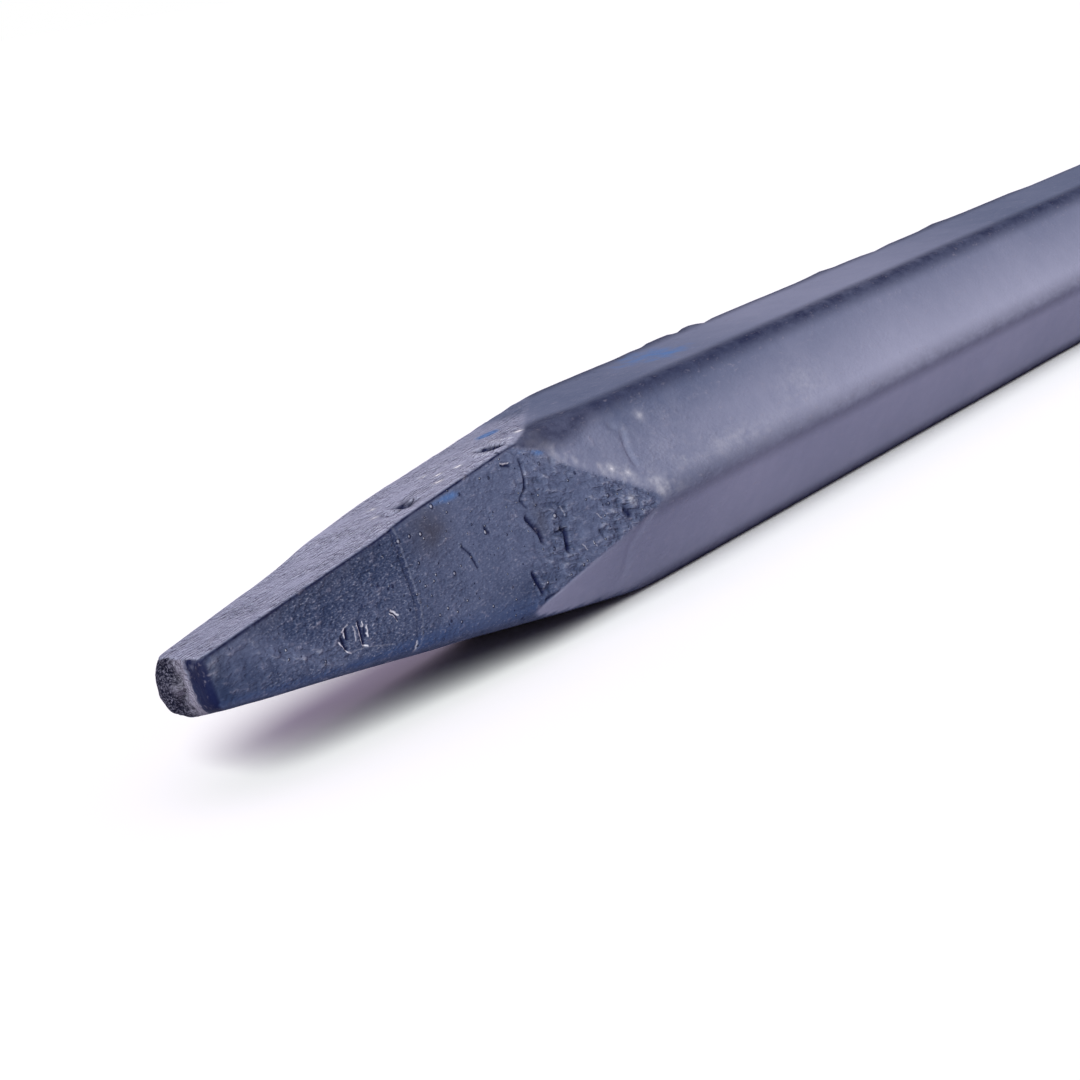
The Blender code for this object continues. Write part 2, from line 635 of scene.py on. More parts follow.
    def finish(self, shader: bpy.types.Node) -> bpy.types.Material | bpy.types.World:
        """Joins the shader to the output and returns the owner."""
        self.tree.links.new(shader.outputs[0], self.output.inputs["Surface"])
        return self.owner


class PaintFields:
    """What the paint's layers share: the mesh's attributes, the noises and the place."""

    def __init__(self, graph: Graph, paint: "SlatePaint", tip: Triple, roll: float) -> None:
        """Adds the nodes of everything that varies over the surface.

        Args:
            graph: The paint's nodes.
            paint: The finish, which holds the sizes.
            tip: The point's end on the bar's axis, in object coordinates.
            roll: How far the point is turned about the axis.
        """
        self.film, self.edge, self.band = graph.attribute("film")
        self.soot, self.fresh, self.chalk = graph.attribute("stains")
        self.torn, self.pebble, self.streak = graph.attribute("tooling")
        self.coarse, self.bead, self.near = graph.attribute("texture")

        self.wide = graph.noise(paint.wide_size, 2)
        self.fleck = graph.noise(paint.fleck_size, 3)
        self.patchy = graph.noise(paint.patch_size, 1)
        self.grain = graph.noise(paint.grain_size, 1, paint.drawn_grain)
        self.speckle = graph.noise(paint.speckle_size, 1, paint.drawn_grain)
        self.dimples = graph.noise(paint.dimple_size, 2, paint.drawn_grain)
        self.lines = graph.noise(paint.line_size, 2, paint.long_grain)
        small, large = (graph.beads(spacing, share) for spacing, share in paint.bead_kinds)
        self.beads = (small + large) * self.bead
        broken = graph.noise(paint.broken_size, 2, paint.torn_stretch)
        self.torn_grain = graph.grains(paint.torn_size, paint.torn_stretch) + broken * 0.6 - 0.25

        own = graph.vector("SUBTRACT", "Vector", graph.places(), tip)
        self.own = graph.vector("SCALE", "Vector", own, scale=1 / MM)
        cosine, sine = math.cos(roll), math.sin(roll)
        along, self.across, rise = (
            graph.vector("DOT_PRODUCT", "Value", self.own, axis)
            for axis in ((1.0, 0.0, 0.0), (0.0, cosine, sine), (0.0, -sine, cosine))
        )
        self.along, rise = along + self.grain * 0.10, rise + self.dimples * 0.08
        self.place = graph.flat(self.along, rise)
        slanted = graph.flat(self.along * 0.46 - rise * 0.14, self.along * 0.30 + rise * 0.92)
        self.ripples = graph.noise(paint.ripple_size, 2, place=slanted)
        self.calm = self.near * self.zone(paint.calm_from) * self.zone(paint.calm_until)
        grit_and_sparkle = self.near * self.zone(paint.grit_and_sparkle_from)
        self.grit_and_sparkle = grit_and_sparkle * (1 - self.pebble * 0.8) * (1 - self.calm * 0.5)

    def zone(self, ends: Pair) -> Field:
        """An s-curve along the bar from 0 at the first end to 1 at the second, in millimetres."""
        return self.along.ramp(*ends)


@dataclass(frozen=True)
class SlatePaint:
    """Thin slate-blue paint on forged steel, with the dust and soot that a used bar has, and
    painted light and shade.

    The colours are linear. The mesh says where each layer lies, in four vertex attributes. Sizes
    written with MM are in metres. Other sizes and all places on the bar are in millimetres.
    """

    navy: Colour = (0.026, 0.038, 0.080)
    slate: Colour = (0.096, 0.115, 0.186)
    # Pale dust, together with painted sheen on the faces.
    haze_and_sheen: Colour = (0.345, 0.355, 0.458)
    # Painted shade along the near facet's lower edge, where it turns under.
    band_shade_blue: Colour = (0.038, 0.062, 0.138)
    # Painted shade along the edges, in pits, cuts and rings round beads, and the dark navy of the
    # sheared end's smooth part.
    shade_and_edge_blue: Colour = (0.008, 0.011, 0.041)
    fresh_blue: Colour = (0.062, 0.165, 0.390)
    soot: Colour = (0.035, 0.030, 0.034)
    chalk: Colour = (0.420, 0.430, 0.480)
    torn_steel: Colour = (0.007, 0.008, 0.020)
    # Painted highlight on the torn end's crests.
    torn_crest_highlight: Colour = (0.180, 0.176, 0.240)
    torn_dust: Colour = (0.265, 0.255, 0.320)
    # Painted highlight on the rims of the cuts.
    rim_highlight: Colour = (0.560, 0.560, 0.620)
    # White flakes, and painted glints where the dust and glints run highest.
    flake_and_glint_white: Colour = (0.800, 0.800, 0.840)
    specular_level: float = 0.01

    wide_size: float = 9 * MM
    patch_size: float = 2.6 * MM
    fleck_size: float = 1.4 * MM
    dimple_size: float = 0.38 * MM
    line_size: float = 0.26 * MM
    torn_size: float = 0.24 * MM
    grain_size: float = 0.18 * MM
    broken_size: float = 0.13 * MM
    speckle_size: float = 0.09 * MM
    ripple_size: float = 0.42
    drop_radius: float = 0.18
    bead_kinds: tuple[Pair, Pair] = ((1.0 * MM, 0.50), (1.7 * MM, 0.35))
    drawn_grain: Triple = (0.5, 1.0, 1.0)
    long_grain: Triple = (0.45, 1.0, 1.0)
    torn_stretch: Triple = (1.0, 0.75, 1.0)

    grit_and_sparkle_from: Pair = (1.0, 14.0)
    calm_from: Pair = (29.0, 34.0)
    calm_until: Pair = (55.0, 46.0)
    ripple_highlight_until: Pair = (30.0, 22.0)
    torn_dust_across: Pair = (2.6, -1.6)

    ridge_strengths: Pair = (0.80, 0.45)
    ridge_reach: Pair = (3.2, 0.2)
    ridges_until: Pair = (1400.0, 1330.0)
    ridge_spread: float = 1.4
    ridge_spread_until: Pair = (73.0, 63.0)
    smooth_coarse: float = 0.2

    rims: tuple[FineLine, ...] = ()
    cuts: tuple[FineLine, ...] = ()
    drops: tuple[Pair, ...] = ()

    def material(self, tip: Triple, roll: float, ridges: tuple[Pair, Pair]) -> bpy.types.Material:
        """Builds the paint, layer by layer.

        Args:
            tip: The point's end on the bar's axis, in object coordinates.
            roll: How far the point is turned about the axis.
            ridges: Where the stock's upper and side edges lie, sideways and up from its axis.

        Returns:
            The finished material.
        """
        graph = Graph(bpy.data.materials.new(PAINT_SLOT), "ShaderNodeOutputMaterial")
        at = PaintFields(graph, self, tip, roll)
        # Painted shade along the stock's edges, added to the mesh's painted shade on the point's
        # edge, in pits and on the blade.
        edge = at.edge + self.ridge_shade(graph, at, ridges)
        # Rims are painted highlights; cuts are painted shadows in the marks.
        rims = graph.drawn(at.place, self.rims) * at.near
        cuts = graph.drawn(at.place, self.cuts) * at.near * (1 - rims)
        drops = graph.point_gap(at.place, self.drops).ramp(self.drop_radius, 0.0) * at.near
        torn = (at.torn + at.dimples * 0.34 + at.grain * 0.16).ramp(0.10, 0.95)
        skin = self.skin(at)

        # Painted light: the fine texture's crests are paler and its hollows darker, and the
        # speckles hold painted sparkle.
        level = at.film + at.wide * 0.05 + at.fleck * (0.02 + at.coarse * 0.05)
        level = level + skin * at.coarse * 0.13 + at.speckle * at.grit_and_sparkle * 0.22
        # Painted glints on the beads and drops, laid with the dust; painted shade in rings round
        # the beads.
        glints = at.beads.ramp(0.55, 1.0) * 0.75 + drops.ramp(0.5, 1.0) * 0.9
        dust_and_glints = self.dust(at, skin) * (1 - edge) + glints
        bead_rim_shade = at.beads.ramp(0.03, 0.25) * (1 - at.beads.ramp(0.4, 0.7)) * 0.7
        renewed = (at.fresh + at.fleck * 0.25).ramp(0.25, 0.85) * 0.75
        colour = graph.blend(level * 2, self.navy, self.slate)
        for share, over in (
            # The pale layer holds painted sheen along with dust; after it come painted shade in the
            # band, edges, bead rings and cuts, and painted highlights in the dust, rims and flecks.
            ((level - 0.5) * 1.2, self.haze_and_sheen),
            (at.band * (1 + at.fleck * 0.4 + at.dimples * 0.3), self.band_shade_blue),
            (edge * (0.95 + at.fleck * 0.2 + at.dimples * 0.15), self.shade_and_edge_blue),
            (at.soot * (0.8 + at.fleck * 0.5), self.soot),
            (renewed, self.fresh_blue),
            (bead_rim_shade + cuts * 0.9, self.shade_and_edge_blue),
            (dust_and_glints, self.chalk),
            (rims, self.rim_highlight),
            ((dust_and_glints - 0.8) * 1.5, self.flake_and_glint_white),
            (torn, self.torn_colour(graph, at)),
        ):
            colour = graph.blend(share, colour, over)

        relief = skin * (0.012 + at.coarse * 0.130) + at.beads * 0.220
        relief = relief + drops * 0.160 + at.torn_grain * torn * 0.130
        bump = {"Height": relief, "Distance": MM, "Strength": 1.0}
        rough = 0.46 + at.film * 0.22 + at.grain * 0.04 + torn * 0.15
        inputs = {
            "Base Color": colour,
            "Roughness": rough.within(),
            "Specular IOR Level": self.specular_level,
            "Normal": graph.node("ShaderNodeBump", {}, bump).outputs["Normal"],
        }
        return graph.finish(graph.node("ShaderNodeBsdfPrincipled", {}, inputs))

    def skin(self, at: PaintFields) -> Field:
        """The fine texture of the paint: grain, dimples, drawn lines and ripples.

        Args:
            at: What varies over the surface.

        Returns:
            Values about 0.
        """
        texture = (
            at.grain * (0.50 - at.pebble * 0.40 + at.streak * 0.25)
            + at.dimples * (0.60 - at.pebble * 0.4 - at.streak * 0.3)
            + at.lines * at.streak * 1.5
            + at.ripples * at.pebble * 1.7
        )
        return texture * (1 + at.patchy * 0.6) * (1 - at.calm * 0.4)

    def dust(self, at: PaintFields, skin: Field) -> Field:
        """Chalky dust in its patches, and painted highlights on the crests of the fine texture, on
        bright speckles and on the ripples.

        Args:
            at: What varies over the surface.
            skin: The fine texture.

        Returns:
            How much dust there is, from 0 to above 1.
        """
        # Painted highlights on crests, speckles and ripples.
        crests = skin.ramp(0.5, 1.6) * at.coarse * 0.16
        crests = crests + at.speckle.ramp(0.45, 1.2) * at.grit_and_sparkle * 0.42
        ripple_highlight = at.zone(self.ripple_highlight_until) * 0.36 + 0.05
        crests = crests + at.ripples.ramp(0.3, 1.2) * at.pebble * ripple_highlight
        return at.chalk * (0.6 + at.fleck * 0.6 + at.dimples * 0.5) + crests

    def torn_colour(self, graph: Graph, at: PaintFields) -> bpy.types.NodeSocket:
        """The colour of the sheared end: dark steel with its crests painted pale as highlights,
        dusty towards one side.

        Args:
            graph: The paint's nodes.
            at: What varies over the surface.

        Returns:
            The colour's socket.
        """
        dusty = (at.across + at.dimples + at.grain * 0.5).ramp(*self.torn_dust_across)
        crests = at.torn_grain.ramp(-0.3, 1.0)
        steel = graph.blend(crests, self.torn_steel, self.torn_crest_highlight)
        return graph.blend(dusty, steel, self.torn_dust)

    def ridge_shade(self, graph: Graph, at: PaintFields, ridges: tuple[Pair, Pair]) -> Field:
        """Painted shade as dark lines along the stock's edges, by the distance from each edge in
        its section.

        Args:
            graph: The paint's nodes.
            at: What varies over the surface.
            ridges: Where the edges lie, sideways and up from the axis.

        Returns:
            How dark the lines are, from 0 to their strengths.
        """
        girth = graph.vector("ABSOLUTE", "Vector", at.own)
        girth = graph.vector("MULTIPLY", "Vector", girth, (0.0, 1.0, 1.0))
        nearer = at.fleck * 0.12 - at.zone(self.ridge_spread_until) * self.ridge_spread
        upper, side = (
            (graph.vector("DISTANCE", "Value", girth, (0.0, sideways / MM, up / MM)) + nearer)
            .ramp(*self.ridge_reach) * strength
            for (sideways, up), strength in zip(ridges, self.ridge_strengths)
        )
        smooth = ((1 - at.coarse) / (1 - self.smooth_coarse)).within()
        return (upper + side) * smooth * at.zone(self.ridges_until)


SIX_SIDES = np.array([(0, 1), (-1, 1), (-1, -1), (0, -1), (1, -1), (1, 1)], float)
FORM_SIDES = np.array([(-1, 0), (0, 1), (1, 0), (0, -1), (-1, -1), (1, -1)], float)
FORM_FACES = 4
TOP_FACE, FAR_FACE = 1, 2
END_FACE = 6
FORM_SHARPNESS, STOCK_SHARPNESS = 30, 60


def turned(first: Array, second: Array, angle: float | Array) -> tuple[Array, Array]:
    """Two coordinates turned by an angle: (a cos - b sin, a sin + b cos)."""
    cosine, sine = np.cos(angle), np.sin(angle)
    return first * cosine - second * sine, first * sine + second * cosine


def soft_reach(gains: Array, crispness: float) -> Array:
    """How far a ray goes inside planes whose common edges are rounded: (Σ g^p)^(-1/p).

    Args:
        gains: For each ray, what one unit of it gains on each plane, over that plane's distance.
        crispness: The power p. A larger one leaves sharper edges.

    Returns:
        One length for each ray.
    """
    return (np.clip(gains, 0, None) ** crispness).sum(axis=-1) ** (-1 / crispness)


def face_shares(levels: Array, sharpness: float) -> Array:
    """Which face each place lies on, as shares that add up to 1 and mix near an edge.

    Args:
        levels: For each place and plane, the place's height over the plane's, 1 on the plane.
        sharpness: The power that a level is raised to.

    Returns:
        Shares, the shape of levels.
    """
    raised = np.clip(levels, 0.01, None) ** sharpness
    return raised / raised.sum(axis=-1, keepdims=True)


def edge_gaps(levels: Array, distances: Array) -> Array:
    """Distance from each place to the nearest plane other than the one that it lies on.

    Args:
        levels: For each place and plane, the place's height over the plane's.
        distances: Each plane's distance from the middle.

    Returns:
        One distance for each place.
    """
    first = levels.max(axis=-1, keepdims=True)
    gaps = distances * (1 - levels / first)
    return np.where(levels == first, np.inf, gaps).min(axis=-1)


@dataclass
class Skin:
    """The bare surface as a grid of rows along the bar and columns round it.

    Each array has one entry for each vertex of the grid. Places are x from the tip, sideways and
    height above the axis. The form is the four-sided point, the stock the six-sided bar, and the
    excess is how much farther out the form lies than the stock, which is below zero on the point.
    """

    places: Array
    run: Array
    excess: Array
    form_faces: Array
    stock_faces: Array
    stock_gap: Array
    end_face: Array
    end_round: Array
    roll: float

    @property
    def ground(self) -> Array:
        """1 on the point's facets and 0 on the stock: how much nearer the form's planes lie."""
        return ease(-self.excess, -0.010, 0.010)

    @classmethod
    def joined(cls, first: "Skin", second: "Skin") -> "Skin":
        """One skin with the rows of two."""
        names = [name for name in cls.__dataclass_fields__ if name != "roll"]
        pairs = {name: (getattr(first, name), getattr(second, name)) for name in names}
        return cls(roll=first.roll, **{name: np.concatenate(pair) for name, pair in pairs.items()})

    def on(self, side: Side) -> tuple[Array, Array]:
        """Each vertex's place across one face, and how much it belongs to that face.

        Args:
            side: The face.

        Returns:
            The place in metres from the face's middle, upwards or towards +Y, and a share.
        """
        sideways, rise = self.places[..., 1], self.places[..., 2]
        across, up = turned(sideways, rise, -self.roll)
        form = self.form_faces * self.ground[..., None]
        stock = self.stock_faces * (1 - self.ground)[..., None]
        found = {
            Side.NEAR_FACET: (up, form[..., 0]),
            Side.TOP_FACET: (across, form[..., 1]),
            Side.STOCK_TOP: (sideways, stock[..., 0]),
            Side.STOCK_UPPER: (sideways / 2 + rise * math.sqrt(3) / 2, stock[..., 1]),
            Side.STOCK_LOWER: (rise * math.sqrt(3) / 2 - sideways / 2, stock[..., 2]),
            Side.FAR_RIDGE: (sideways, stock[..., 0] + stock[..., 5]),
        }
        return found[side]

    def outward(self) -> Array:
        """Unit normals: the cross product of the steps to the next row and to the next column."""
        down = np.gradient(self.places, axis=0)
        round_it = np.roll(self.places, -1, axis=1) - np.roll(self.places, 1, axis=1)
        normal = np.cross(down, round_it)
        return normal / np.clip(np.linalg.norm(normal, axis=-1, keepdims=True), 1e-12, None)


@dataclass
class ForgedBar:
    """The whole bar, forged in one piece: its sizes, its surface and its marks.

    Lengths written with MM are in metres. Heights and depths of the small relief are in
    millimetres, and so are the heights above the near facet's lower edge.
    """

    tip_x: float
    edge_x: float
    finish: SlatePaint

    across_flats: float = 25.4 * MM
    stock_crispness: float = 40.0

    point_roll: float = math.radians(-12.5)
    roll_fade: Pair = (0.9, 0.2)
    tip_width: float = 10.4 * MM
    tip_height: float = 6.3 * MM
    tip_chamfer: float = 1.0 * MM
    tip_shear: float = math.radians(23.3)
    tip_lead: float = 0.66 * MM
    front_hollow: float = 0.32 * MM
    front_until: float = 31 * MM
    shoulder_from_tip: float = 52.5 * MM
    shoulder_width: float = 19.8 * MM
    side_runout: float = 77.4 * MM
    flat_runout: float = 70.8 * MM
    point_crispness: float = 24.0
    facet_crispness: float = 60.0
    end_trims: Triple = (0.35 * MM, 0.56 * MM, 0.35 * MM)
    torn_from: Pair = (-2.4 * MM, -0.2 * MM)
    end_from: Pair = (0.950, 0.998)
    far_bulge: float = 0.95 * MM
    bulge_at: float = 3 * MM
    bulge_length: float = 7 * MM
    bulge_beyond_tip: float = 0.2 * MM
    lower_trim: float = 0.80 * MM
    lower_fill: float = 0.22 * MM
    far_swell: float = 0.35 * MM
    swell_until: Pair = (30 * MM, 8 * MM)
    nose_depth: float = 7.0 * MM
    facet_spread: float = 0.032
    spread_along: Pair = (59.5 * MM, 4.0 * MM)
    spread_up: Pair = (8.6 * MM, 1.7 * MM)

    drawn_length: float = 165 * MM
    blade_width: float = 40 * MM
    blade_thickness: float = 7.5 * MM
    thinning_power: float = 0.8
    stock_flat_share: float = 0.5
    blade_flat_share: float = 0.93
    edge_thickness: float = 2.2 * MM
    bevel_length: float = 16 * MM
    tail_length: float = 75 * MM
    bend_radius: float = 130 * MM
    bend_angle: float = math.radians(20)
    edge_round: float = 0.4 * MM
    closing_sizes: Pair = (0.7, 0.35)
    relief_from_edge: Pair = (0.4 * MM, 6 * MM)

    columns: tuple[int, int, int, int] = (24, 74, 42, 24)
    crowding: float = 0.05
    disc_rows: int = 20
    nose_rows: int = 24
    fine_row: float = 0.18 * MM
    fine_from: float = 16 * MM
    even_until: float = 58 * MM
    fine_until: float = 76 * MM
    middle_until: float = 114 * MM
    halved_at: float = 240 * MM
    shank_strips: int = 3

    step_at: float = 31 * MM
    step_curve: float = 54.0
    step_height: float = 0.16
    step_edge: Pair = (-0.25 * MM, 0.25 * MM)
    step_fade: Pair = (0.5 * MM, 9 * MM)
    groove_depth: float = 0.12
    groove_width: float = 0.25 * MM
    crater_middle: Pair = (39 * MM, -3.9 * MM)
    crater_radius: float = 2.4 * MM
    crater_depth: float = 0.20
    flaked_middle: Pair = (104 * MM, 1.5 * MM)
    flaked_half: Pair = (8 * MM, 6 * MM)
    flaked_depth: float = 0.08
    shoulder_from: Pair = (43 * MM, 56 * MM)
    belt_slope: float = 0.45
    belt_start: float = 9 * MM
    belt_width: float = 1.5 * MM
    belt_middle: float = 11 * MM
    belt_length: float = 8 * MM

    forging_grains: tuple[Grain, ...] = (Grain(23, 0.10, 1), Grain(8, 0.06, 2))
    scale_grains: tuple[Grain, ...] = (Grain(2.3, 0.014, 3), Grain(8, -0.07, 10, 1.3, 0.3))
    pebble_grains: tuple[Grain, ...] = (
        Grain((1.5, 0.8, 0.8), 0.06, 4),
        Grain(1.7, 0.06, 20, 0.6, 0.5),
    )
    near_grains: tuple[Grain, ...] = (Grain(2.4, 0.12, 30, 0.36, 0.6),)
    top_grains: tuple[Grain, ...] = (
        Grain((2.6, 0.8, 0.8), 0.035, 5),
        Grain(2.2, 0.10, 50, 0.5, 0.35),
    )
    crater_grains: tuple[Grain, ...] = (Grain(1.1, 0.50, 6),)
    torn_grains: tuple[Grain, ...] = (
        Grain(0.8, 0.12, 7),
        Grain(2.0, 0.16, 8),
        Grain(1.1, -0.24, 40, 0.7, 0.5),
    )
    flaked_grains: tuple[Grain, ...] = (Grain((5.0, 1.3, 1.3), 0.22, 9),)

    corner_offset: float = 0.16 * MM
    corner_width: float = 0.26 * MM
    pit_depth: float = 0.26 * MM
    blade_edge_width: float = 1.3 * MM
    blade_edges_from: float = 20 * MM
    crests_from: Pair = (0.06 * MM, 0.24 * MM)
    lips_from: Pair = (0.05 * MM, 0.21 * MM)
    lightening_until: Pair = (0.9, 0.2)
    behind_step: Pair = (29 * MM, 38 * MM)
    band_rise_from: Pair = (12 * MM, 42 * MM)
    band_height: Pair = (0.9, 1.6)
    band_border: Pair = (0.5, -0.5)
    dust_below_edge: float = 0.8 * MM
    dust_width: float = 1.6 * MM
    dusty_until: Pair = (34 * MM, 24 * MM)
    rim_excess: float = 0.03
    rim_width: float = 0.04
    rim_run: float = 78 * MM
    rim_length: float = 13 * MM
    streaky_until: Pair = (60 * MM, 70 * MM)
    smooth_levels: Pair = (0.22, 0.08)
    smoother_from: Pair = (78 * MM, 110 * MM)
    beaded_from: Pair = (24 * MM, 34 * MM)
    paler_down_from: Pair = (80 * MM, 130 * MM)

    # Each face's paleness, which partly stands in for how light falls on it.
    paleness_and_light_by_facet: tuple[float, ...] = (0.36, 1.12, 0.25, 0.10)
    paleness_and_light_by_side: tuple[float, ...] = (0.84, 0.74, 0.94, 0.30, 0.45, 0.62)
    shades: tuple[Shade, ...] = ()
    strokes: tuple[Stroke, ...] = ()
    fresh_blots: tuple[Blot, ...] = ()
    soot_blots: tuple[Blot, ...] = ()
    chalk_blots: tuple[Blot, ...] = ()

    @property
    def half_flats(self) -> float:
        """Half the distance across the flats, which is the axis's height."""
        return self.across_flats / 2

    @property
    def half_corners(self) -> float:
        """Half the distance across the corners."""
        return self.across_flats / math.sqrt(3)

    @property
    def bend_start(self) -> float:
        """Distance from the tip at which the chisel starts to turn up."""
        sine, cosine = math.sin(self.bend_angle), math.cos(self.bend_angle)
        reach = self.bend_radius * sine + self.tail_length * cosine
        return self.edge_x - self.tip_x - reach - self.edge_thickness / 2 * sine

    @property
    def drawn_from(self) -> float:
        """Distance from the tip at which the bar starts to spread into the chisel."""
        return self.whole_run - self.drawn_length

    @property
    def whole_run(self) -> float:
        """Length of the middle line, from the tip to the cutting edge."""
        return self.bend_start + self.bend_radius * self.bend_angle + self.tail_length

    def form_half_height(self, run: Array) -> Array:
        """Half height of the point's form, which grows evenly from the tip."""
        slope = (self.half_flats - self.tip_height / 2) / self.flat_runout
        return self.tip_height / 2 + slope * np.asarray(run)

    def form_half_width(self, run: Array) -> Array:
        """Half width of the point's form: an even taper to the shoulder, then a steeper one.

        Args:
            run: Distances from the tip.

        Returns:
            Half widths.
        """
        tip, shoulder = self.tip_width / 2, self.shoulder_width / 2
        first = (shoulder - tip) / self.shoulder_from_tip
        second = (self.half_corners - shoulder) / (self.side_runout - self.shoulder_from_tip)
        beyond = np.maximum(np.asarray(run) - self.shoulder_from_tip, 0)
        return tip + first * (run - beyond) + second * beyond

    def form_distances(self, run: Array) -> Array:
        """Distance of each of the form's planes from the axis: four faces, two lower easings.

        A corner's plane gains on both half sizes, less the depth that it trims off the corner.
        Near the tip the top face was struck a little deeper than the rest, and the far one less.

        Args:
            run: Distances from the tip.

        Returns:
            Distances, with the planes on a new last axis.
        """
        sizes = np.stack([self.form_half_width(run), self.form_half_height(run)], axis=-1)
        corner = np.abs(FORM_SIDES).sum(axis=-1) == 2
        near_tip = ease(run, *self.swell_until)
        trim = (self.lower_trim - self.lower_fill * near_tip) * math.sqrt(2)
        distances = sizes @ np.abs(FORM_SIDES).T - corner * trim[..., None]
        distances[..., FAR_FACE] += self.far_swell * near_tip
        front = ease(run, self.front_until + 4 * MM, self.front_until - 4 * MM)
        distances[..., TOP_FACE] -= self.front_hollow * front
        return distances

    def nose_planes(self) -> tuple[Array, Array]:
        """The planes round the nose, seen from the middle point that its rays start from.

        They are the form's own, leaning with its taper, then the sheared end, then flats that
        round the end's near, lower and far edges.

        Returns:
            Outward normals as rows of x, across and up, and the planes' distances.
        """
        here, next_one = self.form_distances(np.array([self.nose_depth, 2 * self.nose_depth]))
        lean = (here - next_one)[:, None] / self.nose_depth
        faces = np.concatenate([lean, FORM_SIDES], axis=1)
        skew = math.tan(self.tip_shear)
        end = np.array([-1, skew, 0])
        end_distance = self.nose_depth + self.tip_lead
        end_distance -= skew * (self.tip_width / 2 - self.tip_chamfer)
        units = faces / np.linalg.norm(faces, axis=1, keepdims=True)
        unit_distances = here / np.linalg.norm(faces, axis=1)
        end_size = np.linalg.norm(end)
        trimmed = units[[0, 3, 2]] + end / end_size
        cut = np.array(self.end_trims) * np.linalg.norm(trimmed, axis=1)
        trimmed_distances = unit_distances[[0, 3, 2]] + end_distance / end_size - cut
        normals = np.concatenate([faces, end[None], trimmed])
        return normals, np.concatenate([here, [end_distance], trimmed_distances])

    def column_frame(self) -> Array:
        """Where each column meets a square of half size 1, from under the bar and back to it.

        The way round is near side, top, far side, and columns crowd towards the corners.

        Returns:
            Across and up for each column, and for the first one once more at the end.
        """
        under, near, top, far = self.columns
        counts = np.array([under // 2, near, top, far, under // 2])
        ends = np.concatenate([[0], np.cumsum(counts)])
        corners = np.array([(0, -1), (-1, -1), (-1, 1), (1, 1), (1, -1), (0, -1)], float)
        index = np.arange(ends[-1] + 1)
        leg = np.clip(np.searchsorted(ends, index, side="right") - 1, 0, len(counts) - 1)
        share = (index - ends[leg]) / counts[leg]
        whole = (leg > 0) & (leg < len(counts) - 1)
        share = share - whole * self.crowding * np.sin(2 * np.pi * share)
        return corners[leg] + share[:, None] * (corners[leg + 1] - corners[leg])

    def nose(self) -> Skin:
        """The rounded nose, by rays from a middle point a little behind the sheared end.

        The rays aim at rings on that end and then at lines down the four faces, and each stops
        where (Σ g^p)^(-1/p) says, over all the planes of the nose.

        Returns:
            The nose's rows.
        """
        square = self.column_frame()[:-1]
        wide, high = self.form_half_width(0.0), self.form_half_height(0.0)
        skew = math.tan(self.tip_shear)
        rings = np.linspace(0, 1, self.disc_rows + 1)[1:, None]
        disc_across = rings * square[:, 0] * wide
        disc_x = skew * (disc_across + wide - self.tip_chamfer) - self.tip_lead
        disc = np.stack([disc_x, disc_across, rings * square[:, 1] * high], axis=-1)
        down = np.linspace(0, 1, self.nose_rows + 1)[1:, None]
        side_x = disc_x[-1] + (self.nose_depth - disc_x[-1]) * down
        sizes = np.stack([self.form_half_width(side_x), self.form_half_height(side_x)], axis=-1)
        sides = np.concatenate([side_x[..., None], square * sizes], axis=-1)
        middle = np.array([self.nose_depth, 0, 0])
        aims = np.concatenate([disc, sides]) - middle
        normals, distances = self.nose_planes()
        gains = aims @ normals.T / distances
        found = middle + aims * soft_reach(gains, self.point_crispness)[..., None]
        best = gains.max(axis=-1)
        x, across, up = found[..., 0], found[..., 1], found[..., 2]
        levels = self.form_levels(x, across, up)
        none = np.zeros(x.shape)
        end = ease(gains[..., END_FACE:].max(axis=-1) / best, *self.end_from)
        torn = ease(across, *self.torn_from)
        return Skin(
            places=np.stack([x, *turned(across, up, self.point_roll)], axis=-1),
            run=x,
            excess=none - 1,
            form_faces=face_shares(levels, FORM_SHARPNESS),
            stock_faces=np.zeros((*x.shape, len(SIX_SIDES))),
            stock_gap=none + self.half_flats,
            end_face=end * torn,
            end_round=end * (1 - torn),
            roll=self.point_roll,
        )

    def form_levels(self, run: Array, across: Array, up: Array) -> Array:
        """How far out places are on the form's four faces.

        Args:
            run: Distances from the tip.
            across: Places across the form.
            up: Places up it.

        Returns:
            For each place and face, its level, which is 1 on the face.
        """
        distances = self.form_distances(run)[..., :FORM_FACES]
        heights = across[..., None] * FORM_SIDES[:FORM_FACES, 0]
        heights = heights + up[..., None] * FORM_SIDES[:FORM_FACES, 1]
        return heights / distances

    def section(self, run: Array) -> tuple[Array, Array, Array]:
        """The six-sided section at each row: half width, half height and the flats' width share.

        Over the drawn length the hexagon spreads by s-curves into the blade, and over the last
        stretch the ground bevel thins it evenly to the cutting edge.

        Args:
            run: Distances from the tip along the middle line.

        Returns:
            Three arrays, the shape of run.
        """
        from_edge = self.whole_run - run
        drawn = ease((self.drawn_length - from_edge) / (self.drawn_length - self.bevel_length))
        half_width = self.half_corners + (self.blade_width / 2 - self.half_corners) * drawn
        thick = self.blade_thickness / 2
        half_height = thick + (self.half_flats - thick) * (1 - drawn**self.thinning_power)
        bevel = np.clip(1 - from_edge / self.bevel_length, 0, 1)
        half_height = half_height + (self.edge_thickness / 2 - half_height) * bevel
        first, last = self.stock_flat_share, self.blade_flat_share
        return half_width, half_height, first + (last - first) * drawn

